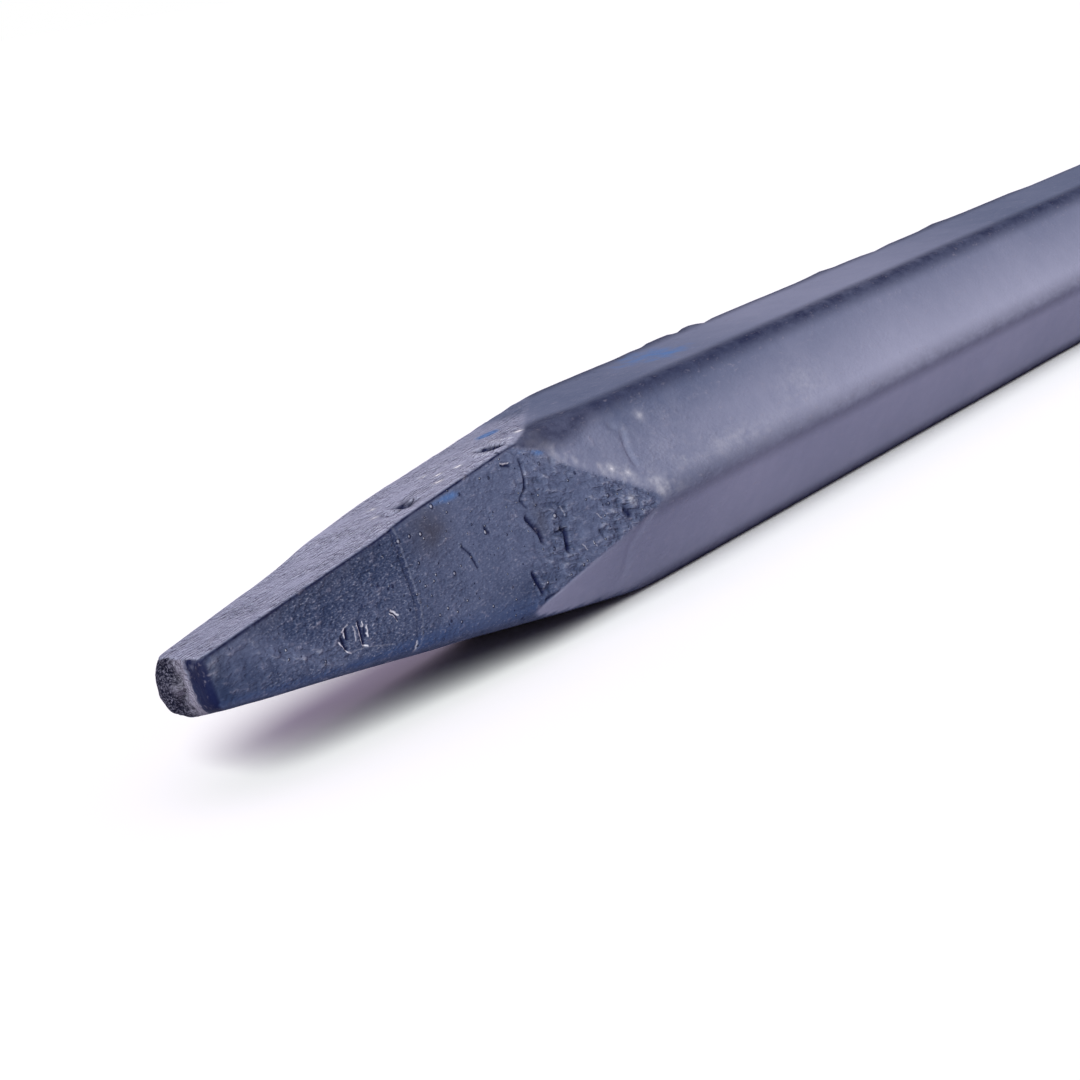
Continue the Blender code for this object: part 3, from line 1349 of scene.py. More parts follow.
    def middle_line(self, run: Array) -> tuple[Array, Array, Array]:
        """The bar's middle line: straight, then an arc that turns up, then straight again.

        Args:
            run: Distances from the tip along the line.

        Returns:
            Its x from the tip, its height above the axis, and its slope in radians.
        """
        slope = np.clip((run - self.bend_start) / self.bend_radius, 0, self.bend_angle)
        tail = np.maximum(run - self.bend_start - self.bend_radius * self.bend_angle, 0)
        x = np.minimum(run, self.bend_start)
        x = x + self.bend_radius * np.sin(slope) + tail * np.cos(slope)
        return x, self.bend_radius * (1 - np.cos(slope)) + tail * np.sin(slope), slope

    def body(self, run: Array, inset: Array) -> Skin:
        """The bar behind its nose, by rays square to the middle line.

        A ray stops at the six planes of the stock or at the planes of the point's form, whichever
        come first: (s^-q + f^-q)^(-1/q), where s and f are the reaches of the two.

        Args:
            run: Distances of the rows from the tip, along the middle line.
            inset: How far each row is drawn in all round, which rounds the cutting edge.

        Returns:
            The body's rows.
        """
        wide, high, share = (part[:, None] for part in self.section(run))
        wide, high = wide - inset[:, None], high - inset[:, None]
        slant = wide * (1 - share)
        form_distances = self.form_distances(run)[:, None]
        box = np.minimum(form_distances[..., :2], np.stack([wide, high], axis=-1))
        aims = self.column_frame()[:-1] * box
        aims = aims / np.linalg.norm(aims, axis=-1, keepdims=True)
        roll = self.point_roll * ease(run / self.bend_start, *self.roll_fade)[:, None]
        side, rise = turned(aims[..., 0], aims[..., 1], roll)

        flat = SIX_SIDES[:, 0] == 0
        steep = np.where(flat, 1 / high[..., None], (slant / (wide * high))[..., None])
        gains = side[..., None] * SIX_SIDES[:, 0] / wide[..., None]
        stock_gains = gains + rise[..., None] * SIX_SIDES[:, 1] * steep
        stock = soft_reach(stock_gains, self.stock_crispness)
        form_aims = np.stack(turned(side, rise, -self.point_roll), axis=-1)
        form_gains = form_aims @ FORM_SIDES.T / form_distances
        form = soft_reach(form_gains, self.point_crispness)
        power = self.facet_crispness
        reach = (stock**-power + form**-power) ** (-1 / power)

        x, height, slope = (part[:, None] for part in self.middle_line(run))
        out, sideways = reach * rise, reach * side
        across, up = turned(sideways, out, -self.point_roll)
        levels = self.form_levels(run[:, None] + 0 * reach, across, up)
        stock_levels = stock_gains * reach[..., None]
        none = np.zeros(reach.shape)
        (middle, length), (level, width) = self.spread_along, self.spread_up
        spread = hill(run[:, None] - middle, length) * hill(up - level, width)
        rows = [x - out * np.sin(slope), sideways, height + out * np.cos(slope)]
        return Skin(
            places=np.stack(rows, axis=-1),
            run=run[:, None] + none,
            excess=form / stock - 1 - self.facet_spread * spread * (across < 0),
            form_faces=face_shares(levels, FORM_SHARPNESS),
            stock_faces=face_shares(stock_levels, STOCK_SHARPNESS),
            stock_gap=edge_gaps(stock_levels, high[..., None]),
            end_face=none,
            end_round=none,
            roll=self.point_roll,
        )

    def rows(self) -> tuple[Array, Array]:
        """Where the body's rows lie: close on the point, wide on the shank, closer on the chisel.

        Returns:
            Distances from the tip, and how far each row is drawn in.
        """
        end, fine = self.whole_run, self.fine_row
        start, runs = self.nose_depth, []
        for until, first, last in (
            (self.fine_from, 0.25 * MM, fine),
            (self.even_until, fine, fine),
            (self.fine_until, fine, 0.35 * MM),
            (self.middle_until, 0.4 * MM, 0.6 * MM),
            (self.halved_at, 0.9 * MM, 7 * MM),
            (self.drawn_from, 13 * MM, 13 * MM),
            (end - self.bevel_length, 4 * MM, 3 * MM),
            (end - self.edge_round, 2 * MM, 1 * MM),
        ):
            runs.append(graded(start, until, first, last))
            start = until
        turn = np.linspace(0, np.pi / 2, 5)[1:]
        lip = end - self.edge_round * (1 - np.sin(turn))
        inset = self.edge_round * (1 - np.cos(turn))
        runs = np.concatenate([*runs, lip])
        return runs, np.concatenate([np.zeros(len(runs) - len(inset)), inset])

    def step_line(self, up: Array) -> Array:
        """Distance from the tip of the forging step, which curves back below the middle."""
        return self.step_at - self.step_curve * np.minimum(up, 0) ** 2

    def forging(self, skin: Skin) -> Array:
        """The broad unevenness of hand forging: waves, a step, and the bulged far side of the end.

        Args:
            skin: The bare surface.

        Returns:
            Heights in metres.
        """
        waves = sum(grain.raised(skin.places) for grain in self.forging_grains)
        waves *= 0.35 + 0.65 * skin.ground
        up, near = skin.on(Side.NEAR_FACET)
        step = skin.run - self.step_line(up)
        plateau = ease(step, *self.step_edge) - ease(step, *self.step_fade)
        waves += self.step_height * near * plateau
        reach = self.tip_height / 2 + self.bulge_beyond_tip
        middle = np.clip(1 - (up / reach) ** 2, 0, 1)
        far = skin.form_faces[..., FAR_FACE] * skin.ground
        far *= hill(skin.run - self.bulge_at, self.bulge_length)
        return waves * MM + self.far_bulge * far * middle

    def wear(self, skin: Skin) -> Array:
        """The small relief: scale, beads of paint, the step and the torn end.

        Args:
            skin: The bare surface.

        Returns:
            Heights in metres.
        """
        places, run = skin.places, skin.run
        up, near = skin.on(Side.NEAR_FACET)
        across, top = skin.on(Side.TOP_FACET)
        sideways, flat = skin.on(Side.STOCK_TOP)
        step = run - self.step_line(up)
        height = -self.groove_depth * near * hill(step + 0.15 * MM, self.groove_width)

        (middle, side), (length, width) = self.crater_middle, self.flaked_half
        crater = top * hill(np.hypot(run - middle, across - side), self.crater_radius)
        middle, side = self.flaked_middle
        flaked = flat * hill(run - middle, length) * hill(sideways - side, width)
        height -= self.crater_depth * crater + self.flaked_depth * flaked
        for share, grains in (
            (1 - ease(run, 0.8 * self.halved_at, self.halved_at), self.scale_grains),
            (self.pebble(skin), self.pebble_grains),
            (near, self.near_grains),
            (top, self.top_grains),
            (crater, self.crater_grains),
            (skin.end_face, self.torn_grains),
            (flaked, self.flaked_grains),
        ):
            for grain in grains:
                height += share * grain.raised(places)
        return height * MM

    def marks(self, skin: Skin) -> Array:
        """The single marks: dents, scratches, folds and flaked edges.

        Args:
            skin: The bare surface.

        Returns:
            Heights in metres.
        """
        height = np.zeros(skin.run.shape)
        for stroke in self.strokes:
            place, belongs = skin.on(stroke.side)
            height += belongs * stroke.raised(skin.run, place)
        return height

    def pebble(self, skin: Skin) -> Array:
        """How pebbled the near facet is: most on its shoulder, and in a rippled belt in front.

        Args:
            skin: The bare surface.

        Returns:
            Shares from 0 to 1.
        """
        near = skin.on(Side.NEAR_FACET)[1]
        shoulder = ease(skin.run, *self.shoulder_from)
        return near * (0.10 + 0.9 * shoulder + 0.7 * self.belt(skin)).clip(0, 1)

    def belt(self, skin: Skin) -> Array:
        """The rippled belt that slants across the near facet's front, from 0 to 1."""
        line = skin.on(Side.NEAR_FACET)[0] + self.belt_slope * (skin.run - self.belt_start)
        return hill(line, self.belt_width) * hill(skin.run - self.belt_middle, self.belt_length)

    def covered(self, blots: tuple[Blot, ...], skin: Skin) -> Array:
        """How much a set of patches covers each vertex.

        Args:
            blots: The patches.
            skin: The bare surface.

        Returns:
            Coverages, added up.
        """
        total = np.zeros(skin.run.shape)
        for blot in blots:
            place, belongs = skin.on(blot.side)
            total += belongs * blot.cover(skin.run, place)
        return total

    def above_lower_edge(self, skin: Skin) -> Array:
        """Height above the near facet's lower edge, in millimetres."""
        return (skin.on(Side.NEAR_FACET)[0] + self.form_half_height(skin.run)) / MM

    def lower_edge_lightening(self, skin: Skin) -> Array:
        """How much painted light lifts the near facet's lowest strip, against the shade where it
        faces down.
        """
        return skin.on(Side.NEAR_FACET)[1] * ease(self.above_lower_edge(skin), *self.lightening_until)

    def film(self, skin: Skin) -> Array:
        """How pale the colour is, from 0 for navy to above 1 for the palest dust and painted sheen.

        Each face has its own level, which partly stands in for how light falls on it. A shade on
        the stock fades by the stock's share twice, so that the point's border stays soft.

        Args:
            skin: The bare surface.

        Returns:
            The film at each vertex.
        """
        ground, near = skin.ground, skin.on(Side.NEAR_FACET)[1]
        film = ground * (skin.form_faces @ np.array(self.paleness_and_light_by_facet))
        film += (1 - ground) * (skin.stock_faces @ np.array(self.paleness_and_light_by_side))
        for shade in self.shades:
            place, belongs = skin.on(shade.side)
            on_point = shade.side in (Side.NEAR_FACET, Side.TOP_FACET)
            film += belongs * (1 if on_point else 1 - ground) * shade.at(skin.run, place)
        place, upper = skin.on(Side.STOCK_UPPER)
        towards_edge = 0.045 * place / MM * ease(skin.run, *self.paler_down_from)
        film -= (1 - ground) * upper * towards_edge
        # The belt is paler, and painted light lifts the near facet's lowest strip.
        return film + 0.22 * near * self.belt(skin) + 0.40 * self.lower_edge_lightening(skin)

    def edges(self, skin: Skin, wear: Array, marks: Array) -> Array:
        """How dark the colour is: painted shade along the point's top edge, in pits and along the
        blade's edges, and the dark smooth part of the sheared end.

        Args:
            skin: The bare surface.
            wear: Its small relief.
            marks: The height of the single marks.

        Returns:
            Shares from 0 to about 1.
        """
        ground, up = skin.ground, skin.on(Side.NEAR_FACET)[0]
        distances = self.form_distances(skin.run)
        across = skin.on(Side.TOP_FACET)[0]
        below = distances[..., TOP_FACE] - up - (distances[..., 0] + across)
        # Painted shade along the edge between the point's top and near facets.
        edge = 1.1 * ground * hill(below - self.corner_offset, self.corner_width)
        # Painted shade in the pits and cuts of the relief.
        edge += even(-wear - marks, 0, self.pit_depth) * (1 - skin.end_face) * ground
        drawn, around = self.drawn_from, self.blade_edges_from
        drawn = ease(skin.run, drawn - around, drawn + around)
        # Painted shade along the blade's edges.
        edge += 0.9 * drawn * hill(skin.stock_gap, self.blade_edge_width)
        return np.maximum(edge, skin.end_round)

    def lower_band(self, skin: Skin) -> Array:
        """Painted shade in a deep blue band along the near facet's lower edge, where it turns
        under, softer behind the step.

        Args:
            skin: The bare surface.

        Returns:
            Shares from 0 to 1.
        """
        behind = ease(skin.run, *self.behind_step)
        first, added = self.band_height
        rise = self.above_lower_edge(skin) - first - added * ease(skin.run, *self.band_rise_from)
        band = ease(rise / (1 + 1.8 * behind), *self.band_border) * (1 - 0.35 * behind)
        return skin.on(Side.NEAR_FACET)[1] * band * (1 - 0.7 * self.lower_edge_lightening(skin))

    def sooty(self, skin: Skin) -> Array:
        """How much soot lies in its patches and under the near facet's upper edge.

        Args:
            skin: The bare surface.

        Returns:
            Shares from 0 to 1.
        """
        up, near = skin.on(Side.NEAR_FACET)
        below = self.form_half_height(skin.run) - up - self.dust_below_edge
        dusty = 0.22 * near * hill(below, self.dust_width) * ease(skin.run, *self.dusty_until)
        return self.covered(self.soot_blots, skin) + dusty

    def chalky(self, skin: Skin, wear: Array, marks: Array) -> Array:
        """How chalky the paint is: dust patches and the stock's rim by the point, with painted
        highlights on crests and lips.

        Args:
            skin: The bare surface.
            wear: Its small relief.
            marks: The height of the single marks.

        Returns:
            Shares from 0 to above 1.
        """
        mottle = 0.6 + 0.8 * cloud(skin.places, 0.9 * MM, 60)
        mottle += 0.7 * cloud(skin.places, 2.2 * MM, 61)
        rim = hill(skin.excess - self.rim_excess, self.rim_width)
        rim += 0.12 * hill(skin.run - self.rim_run, self.rim_length)
        upper = skin.on(Side.STOCK_UPPER)[1]
        chalk = self.covered(self.chalk_blots, skin) + 0.62 * upper * rim * mottle.clip(0, None)
        # Painted highlights on the relief's crests and the marks' lips.
        raised = 0.16 * even(wear, *self.crests_from) + 0.75 * even(marks, *self.lips_from)
        return chalk + raised * skin.ground

    def layers(self, skin: Skin, wear: Array, marks: Array) -> dict[str, Array]:
        """Where the paint's layers lie, as the vertex attributes that the finish reads.

        Args:
            skin: The bare surface.
            wear: Its small relief, whose crests get painted highlights and whose pits painted
                shade.
            marks: The height of the single marks, whose lips get painted highlights.

        Returns:
            For each attribute's name, three numbers at each vertex.
        """
        ground, run = skin.ground, skin.run
        near, top = skin.on(Side.NEAR_FACET)[1], skin.on(Side.TOP_FACET)[1]
        streak = top * (1 - 0.6 * ease(run, *self.streaky_until)) + 0.15 * (1 - ground)
        first, last = self.smooth_levels
        smooth = first + (last - first) * ease(run, *self.smoother_from)
        coarse = smooth + (1 - smooth) * ground * (1 - skin.end_round)
        beaded = 0.15 + 0.85 * ease(run, *self.beaded_from) + 0.9 * self.belt(skin)
        film, edge = self.film(skin), self.edges(skin, wear, marks)
        soot, fresh = self.sooty(skin), self.covered(self.fresh_blots, skin)
        parts = {
            "film": (film, edge, self.lower_band(skin)),
            "stains": (soot, fresh, self.chalky(skin, wear, marks)),
            "tooling": (skin.end_face, self.pebble(skin), streak),
            "texture": (coarse, near * beaded + 0.3 * top, near),
        }
        return {name: np.stack(three, axis=-1) for name, three in parts.items()}

    def bands(self, row_runs: Array) -> list[tuple[float, float, Pair, Pair]]:
        """How the surface is laid out flat for baking: bands of rows, each with a rectangle.

        The point gets the most room, and the shank lies below it in strips side by side.

        Args:
            row_runs: Each row's distance from the tip.

        Returns:
            For each band, its first and last run, and its rectangle's low corner and size.
        """
        gap = 0.004
        end = self.whole_run
        strip_ends = np.linspace(self.halved_at, end, self.shank_strips + 1)[1:-1]
        nearest = [float(row_runs[np.abs(row_runs - place).argmin()]) for place in strip_ends]
        marks = [self.halved_at, *nearest, end]
        found = [
            (0.0, self.middle_until, (gap, 0.44), (0.65, 0.556)),
            (self.middle_until, self.halved_at, (0.665, 0.60), (0.331, 0.396)),
        ]
        deep = 0.43 / self.shank_strips
        for strip, (first, last) in enumerate(zip(marks, marks[1:])):
            corner = (gap, gap + strip * deep)
            found.append((first, last, corner, (1 - 2 * gap, deep - 2 * gap)))
        return found

    def flat_places(self, rows: Array, cols: Array, row_runs: Array) -> Array:
        """Where each corner of each face lies on the flat layout.

        Args:
            rows: The corners' rows, -1 at the first pole.
            cols: The corners' columns, up to the number of columns.
            row_runs: Each row's distance from the tip.

        Returns:
            Two numbers from 0 to 1 for each corner.
        """
        total = sum(self.columns)
        runs = row_runs[np.clip(rows, 0, len(row_runs) - 1)]
        middle = runs.mean(axis=1, keepdims=True)
        turn = cols / total
        flat = np.zeros((*rows.shape, 2))
        for first, last, corner, size in self.bands(row_runs):
            held = (middle >= first) & (middle <= last + self.edge_round)
            u = corner[0] + size[0] * np.clip((runs - first) / (last - first), 0, 1)
            v = corner[1] + size[1] * turn
            flat = np.where(held[..., None], np.stack([u, v], axis=-1), flat)
        disc = (rows < self.disc_rows).all(axis=1)[:, None, None]
        ring = ((rows + 1) / self.disc_rows)[..., None]
        square = self.column_frame()[cols.astype(int)]
        return np.where(disc, (0.74, 0.52) + 0.065 * ring * square, flat)

    def faces(self, count: int, fine: int) -> list[tuple[Array, Array]]:
        """The grid's faces as rows and columns of their corners.

        Fine rows have every column, and coarse rows every other one. Three triangles join each
        pair of fine steps to a coarse one, and fans of triangles close both ends.

        Args:
            count: How many rows there are.
            fine: How many of them are fine.

        Returns:
            Pairs of arrays, rows and columns, with one face on each line.
        """
        total = sum(self.columns)
        near_cols, far_cols = np.arange(total), np.arange(0, total, 2)
        found = []
        for rows, cols, step in (
            (np.arange(fine - 1), near_cols, 1),
            (np.arange(fine, count - 1), far_cols, 2),
        ):
            upper, lower = (part.reshape(-1, 1) for part in np.meshgrid(rows, cols, indexing="ij"))
            found.append((upper + (0, 1, 1, 0), lower + (0, 0, step, step)))
        for rows, steps in (
            ((fine - 1, fine, fine - 1), (0, 0, 1)),
            ((fine - 1, fine, fine), (1, 0, 2)),
            ((fine - 1, fine, fine - 1), (1, 2, 2)),
        ):
            found.append((np.tile(rows, (len(far_cols), 1)), far_cols[:, None] + steps))
        found.append((np.tile((-1, 0, 0), (total, 1)), near_cols[:, None] + (0, 0, 1)))
        last = np.tile((count - 1, count, count - 1), (len(far_cols), 1))
        found.append((last, far_cols[:, None] + (0, 0, 2)))
        return found

    def surface(self) -> tuple[Array, dict[str, Array], Array, int]:
        """The dressed surface, with rows at the end that shrink to close the cutting edge.

        Returns:
            The places, the paint's layers, each row's distance from the tip, and how many rows
            are fine.
        """
        runs, inset = self.rows()
        skin = Skin.joined(self.nose(), self.body(runs, inset))
        wear, marks = self.wear(skin), self.marks(skin)
        relief = self.forging(skin) + wear + marks
        relief *= ease(self.whole_run - skin.run, *self.relief_from_edge)
        places = skin.places + skin.outward() * relief[..., None]
        places = places + (self.tip_x, 0, self.half_flats)
        places[..., 2] = np.maximum(places[..., 2], 0)

        shrink = np.array(self.closing_sizes)[:, None, None]
        last = places[-1].mean(axis=0)
        places = np.concatenate([places, last + (places[-1] - last) * shrink])
        layers = {
            name: np.concatenate([part, np.repeat(part[-1:], len(shrink), axis=0)])
            for name, part in self.layers(skin, wear, marks).items()
        }
        disc_runs = np.zeros(self.disc_rows)
        nose_runs = np.linspace(0, self.nose_depth, self.nose_rows + 1)[1:]
        closing_runs = np.full(len(shrink), self.whole_run)
        fine = self.disc_rows + self.nose_rows + int((runs < self.halved_at - 1e-6).sum())
        return places, layers, np.concatenate([disc_runs, nose_runs, runs, closing_runs]), fine

    def build(self) -> bpy.types.Object:
        """Builds the whole surface as one closed mesh, dresses it and puts it on the frame.

        Returns:
            The piece that stands for the CAD bar.
        """
        places, layers, row_runs, fine = self.surface()
        total, count = sum(self.columns), len(row_runs)
        index = np.zeros((count + 2, total + 1), np.int64)
        wrapped = np.arange(total + 1) % total
        coarse_base = 1 + fine * total
        index[1 : fine + 1] = 1 + np.arange(fine)[:, None] * total + wrapped
        coarse_rows = np.arange(count - fine)[:, None] * (total // 2)
        index[fine + 1 : count + 1] = coarse_base + coarse_rows + wrapped // 2
        index[count + 1] = coarse_base + (count - fine) * (total // 2)

        def gathered(values: Array) -> Array:
            """Puts each vertex's values in the mesh's order: pole, fine rows, coarse rows, pole.

            Args:
                values: For each row and column, numbers on the last axis.

            Returns:
                The same numbers, one vertex on each line.
            """
            width = values.shape[-1]
            parts = [values[0].mean(axis=0)[None], values[:fine].reshape(-1, width)]
            parts += [values[fine:, ::2].reshape(-1, width), values[-1].mean(axis=0)[None]]
            return np.concatenate(parts)

        faces, corners = [], []
        for rows, cols in self.faces(count, fine):
            faces += index[rows + 1, cols].tolist()
            corners.append(self.flat_places(rows, cols, row_runs).reshape(-1, 2))
        mesh = bpy.data.meshes.new("painted_bar")
        mesh.from_pydata(gathered(places).tolist(), [], faces)
        for name, values in layers.items():
            held = mesh.attributes.new(name, "FLOAT_VECTOR", "POINT")
            held.data.foreach_set("vector", gathered(values).astype(np.float32).ravel())
        flat = mesh.uv_layers.new(name="OFBake")
        flat.uv.foreach_set("vector", np.concatenate(corners).astype(np.float32).ravel())
        mesh.shade_smooth()
        tip = (self.tip_x, 0.0, self.half_flats)
        ridges = ((self.half_corners / 2, self.half_flats), (self.half_corners, 0.0))
        mesh.materials.append(self.finish.material(tip, self.point_roll, ridges))
        piece = bpy.data.objects.new("painted_bar", mesh)
        bpy.context.scene.collection.objects.link(piece)
        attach(piece, "root")
        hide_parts(CAD_NODE)
        return piece


def cuts_and_lips() -> tuple[Stroke, ...]:
    """The single marks that show on the bar: dents, scratches, folds and flaked edges.

    Returns:
        The marks, each as a line on its face.
    """
    near, top, lower, ridge = Side.NEAR_FACET, Side.TOP_FACET, Side.STOCK_LOWER, Side.FAR_RIDGE
    upper = Side.STOCK_UPPER
    deep = {"width": 0.26 * MM, "height": -0.28 * MM, "lip": 0.04 * MM}
    light = {"width": 0.20 * MM, "height": -0.20 * MM, "lip": 0.05 * MM}
    broad = {"width": 0.34 * MM, "height": -0.40 * MM, "lip": 0.06 * MM}
    return (
        Stroke(near, ((19.5, -1.1), (19.2, -1.9)), **deep),
        Stroke(near, ((18.5, -1.7), (18.6, -2.9)), **deep),
        Stroke(near, ((21.6, -1.0), (21.5, -2.2), (21.3, -3.3)), **deep),
        Stroke(near, ((22.1, -1.7), (21.9, -2.6)), **light),
        Stroke(near, ((26.7, -1.4), (27.2, -1.9), (27.3, -2.4)), **light),
        Stroke(near, ((40.6, 1.8), (41.4, 0.8), (41.9, -1.1)), **light),
        Stroke(near, ((45.1, 2.7), (45.6, 1.9)), **light),
        Stroke(near, ((54.3, 8.2), (54.1, 6.0), (53.7, 5.0), (52.3, 3.9), (52.9, 2.8)), **light),
        Stroke(near, ((52.3, 1.6), (53.0, 0.5), (53.5, -0.5), (53.6, -1.5)), **broad),
        Stroke(near, ((57.1, -1.1), (57.4, -1.8), (57.1, -2.8), (56.9, -3.7)), **broad),
        Stroke(near, ((55.8, -1.3), (57.1, -1.1)), **light),
        Stroke(near, ((51.4, 8.5), (52.6, 8.1)), **deep),
        Stroke(near, ((50.2, -4.6), (50.9, -7.0)), **broad),
        Stroke(near, ((51.0, -8.0), (54.2, -7.8)), **light),
        Stroke(near, ((62.5, -3.0), (63.0, -4.6)), **light),
        Stroke(near, ((69.0, -1.5), (69.3, -1.7)), 0.55 * MM, 0.40 * MM),
        Stroke(near, ((67.6, -2.2), (68.0, -2.9)), 0.50 * MM, -0.32 * MM),
        Stroke(top, ((35.6, -4.6), (37.0, -5.2)), **broad),
        Stroke(top, ((38.8, -3.9), (40.2, -4.6)), **broad),
        Stroke(top, ((55.3, -4.8), (54.6, -6.6), (54.2, -7.8)), 0.85 * MM, -0.70 * MM, 0.15 * MM),
        Stroke(top, ((58.4, -3.6), (57.0, -6.4), (56.6, -8.6)), 0.34 * MM, 0.22 * MM),
        Stroke(top, ((52.4, -5.4), (51.8, -8.0)), 0.30 * MM, 0.20 * MM),
        Stroke(upper, ((74.6, 2.6), (73.4, 0.4), (73.2, -1.6)), 0.50 * MM, -0.26 * MM),
        Stroke(upper, ((73.2, 3.9), (73.6, 3.6)), 0.60 * MM, -0.26 * MM),
        Stroke(lower, ((72.4, 6.8), (69.9, 4.3), (68.6, 2.4), (69.6, -1.4)), 0.8 * MM, -0.22 * MM),
        Stroke(lower, ((172.8, 1.8), (174.0, 1.4)), 1.1 * MM, -0.30 * MM),
        Stroke(ridge, ((109.5, 6.6), (115.0, 7.2)), 1.2 * MM, 0.26 * MM),
        Stroke(ridge, ((119.5, 6.9), (122.0, 7.2)), 1.1 * MM, 0.30 * MM),
        Stroke(ridge, ((124.0, 7.0), (126.0, 7.2)), 0.9 * MM, -0.20 * MM),
        Stroke(ridge, ((158.0, 7.1), (163.0, 7.1)), 1.1 * MM, 0.22 * MM),
        Stroke(ridge, ((176.0, 7.1), (181.0, 7.1)), 1.2 * MM, -0.22 * MM),
        Stroke(ridge, ((199.0, 7.1), (206.0, 7.1)), 1.3 * MM, 0.26 * MM),
    )


def fine_lines() -> dict[str, tuple]:
    """The hair-thin rims and cuts on the near facet, drawn as painted highlights and painted
    shadows, and the drops of paint.

    Returns:
        Rims, cuts and drops, by the names of the finish's fields that hold them.
    """
    step = ((31.0, 7.0), (31.0, 1.7), (30.9, -2.0), (30.4, -3.6), (29.5, -5.6), (28.7, -6.6))
    return {
        "rims": (
            FineLine(((19.1, -0.8), (18.8, -1.1), (18.9, -1.7)), 0.16),
            FineLine(((19.0, -0.8), (19.9, -0.6)), 0.12, 0.5),
            FineLine(((17.8, -1.9), (18.1, -2.5), (18.5, -3.2), (19.0, -3.5)), 0.15),
            FineLine(((21.2, -0.9), (21.2, -1.7), (21.0, -2.7), (21.1, -3.4), (21.7, -3.6)), 0.18),
            FineLine(((22.1, -1.0), (21.9, -1.5)), 0.14, 0.8),
            FineLine(((22.5, -1.5), (22.4, -2.1), (22.2, -2.7)), 0.15, 0.9),
            FineLine(((20.6, -1.0), (20.6, -1.6), (20.3, -2.5)), 0.16, 0.5),
            FineLine(((26.7, -1.2), (27.2, -1.6), (27.5, -2.0)), 0.16, 0.9),
            FineLine(((26.3, -1.5), (26.8, -1.8), (27.1, -2.2), (27.1, -2.6)), 0.13, 0.9),
            FineLine(((29.1, -5.6), (28.8, -6.3), (28.6, -6.7)), 0.20, 0.5),
            FineLine(((18.6, -3.4), (21.7, -3.7), (25.7, -4.8)), 0.12, 0.12),
            FineLine(((51.2, 8.8), (52.6, 8.4)), 0.12, 0.8),
            FineLine(((57.9, 1.3), (58.1, 0.1)), 0.18, 0.25),
            FineLine(((63.0, -1.3), (63.5, -2.0)), 0.14, 0.4),
            FineLine(((59.3, -3.9), (59.7, -4.7)), 0.16, 0.4),
            FineLine(((61.0, -4.1), (61.3, -4.8)), 0.14, 0.35),
            FineLine(tuple((along + 0.28, up) for along, up in step), 0.24, 0.07),
        ),
        "cuts": (
            FineLine(((19.5, -1.1), (19.2, -1.9)), 0.40, 0.8),
            FineLine(((18.4, -1.6), (18.5, -2.2), (18.7, -2.9)), 0.40, 0.9),
            FineLine(((21.5, -0.8), (21.6, -1.3), (21.5, -2.2), (21.3, -3.2)), 0.38),
            FineLine(((22.1, -1.8), (21.9, -2.5)), 0.30, 0.8),
            FineLine(((26.7, -1.4), (27.2, -1.9), (27.3, -2.4)), 0.22),
            FineLine(((52.3, 1.6), (53.0, 0.5), (53.5, -0.5), (53.6, -1.5)), 0.36, 0.8),
            FineLine(((57.1, -1.1), (57.4, -1.8), (57.1, -2.8), (56.9, -3.7)), 0.40, 0.9),
            FineLine(((55.8, -1.3), (57.1, -1.1)), 0.26, 0.6),
            FineLine(((54.3, 8.2), (54.1, 6.0), (53.7, 5.0), (52.3, 3.9), (52.9, 2.8)), 0.30, 0.6),
            FineLine(((51.4, 8.5), (52.6, 8.1)), 0.30, 0.9),
            FineLine(((45.1, 2.7), (45.6, 2.0)), 0.28, 0.9),
            FineLine(((40.6, 1.8), (41.4, 0.8), (41.9, -1.1)), 0.18, 0.7),
            FineLine(((50.2, -4.8), (50.8, -6.9)), 0.34, 0.6),
            FineLine(((51.2, -8.0), (54.0, -7.9)), 0.26, 0.6),
            FineLine(step, 0.20, 0.40),
        ),
        "drops": (
            (47.1, 3.6), (48.3, -0.9), (46.0, -0.1), (51.8, 0.2), (49.2, 1.0), (51.7, 3.8),
            (49.7, 3.8), (43.9, 5.1), (38.6, 3.5), (42.1, 3.0), (41.0, 6.9), (28.3, 4.5),
            (27.7, 1.3),
        ),
    }


def film_shades() -> tuple[Shade, ...]:
    """Where the colour is paler or darker than the rest of its face.

    Returns:
        The shades.
    """
    near, top, flat = Side.NEAR_FACET, Side.TOP_FACET, Side.STOCK_TOP
    upper, lower = Side.STOCK_UPPER, Side.STOCK_LOWER
    return (
        Shade(near, -0.16, ((3, 17),)),
        Shade(near, 0.14, ((28, 40),)),
        Shade(near, 0.12, ((40, 62),)),
        Shade(near, 0.06, across=(-2, 7)),
        Shade(near, -0.16, peak=(28, 5), across=(0, 4)),
        Shade(near, -0.18, peak=(4, 5), across=(2, -1.5)),
        Shade(near, -0.20, peak=(48, 5), across=(-3, -5)),
        Shade(near, -0.14, peak=(14, 11), across=(-2, 2)),
        Shade(near, -0.08, peak=(57, 7), across=(6, 3)),
        Shade(near, -0.24, ((3.0, 0.6),), across=(3, 1)),
        Shade(top, 0.12, ((10, 30),)),
        Shade(top, -0.16, ((50, 64),)),
        Shade(top, -0.46, ((65.5, 71.5),)),
        Shade(flat, -0.28, peak=(78, 22)),
        Shade(flat, -0.33, ((150, 215),)),
        Shade(flat, -0.14, peak=(112, 18)),
        Shade(upper, 0.16, ((70, 130),)),
        Shade(upper, -0.21, ((70, 76), (122, 96)), across=(-1, 5)),
        Shade(lower, -0.16, peak=(72, 16)),
    )


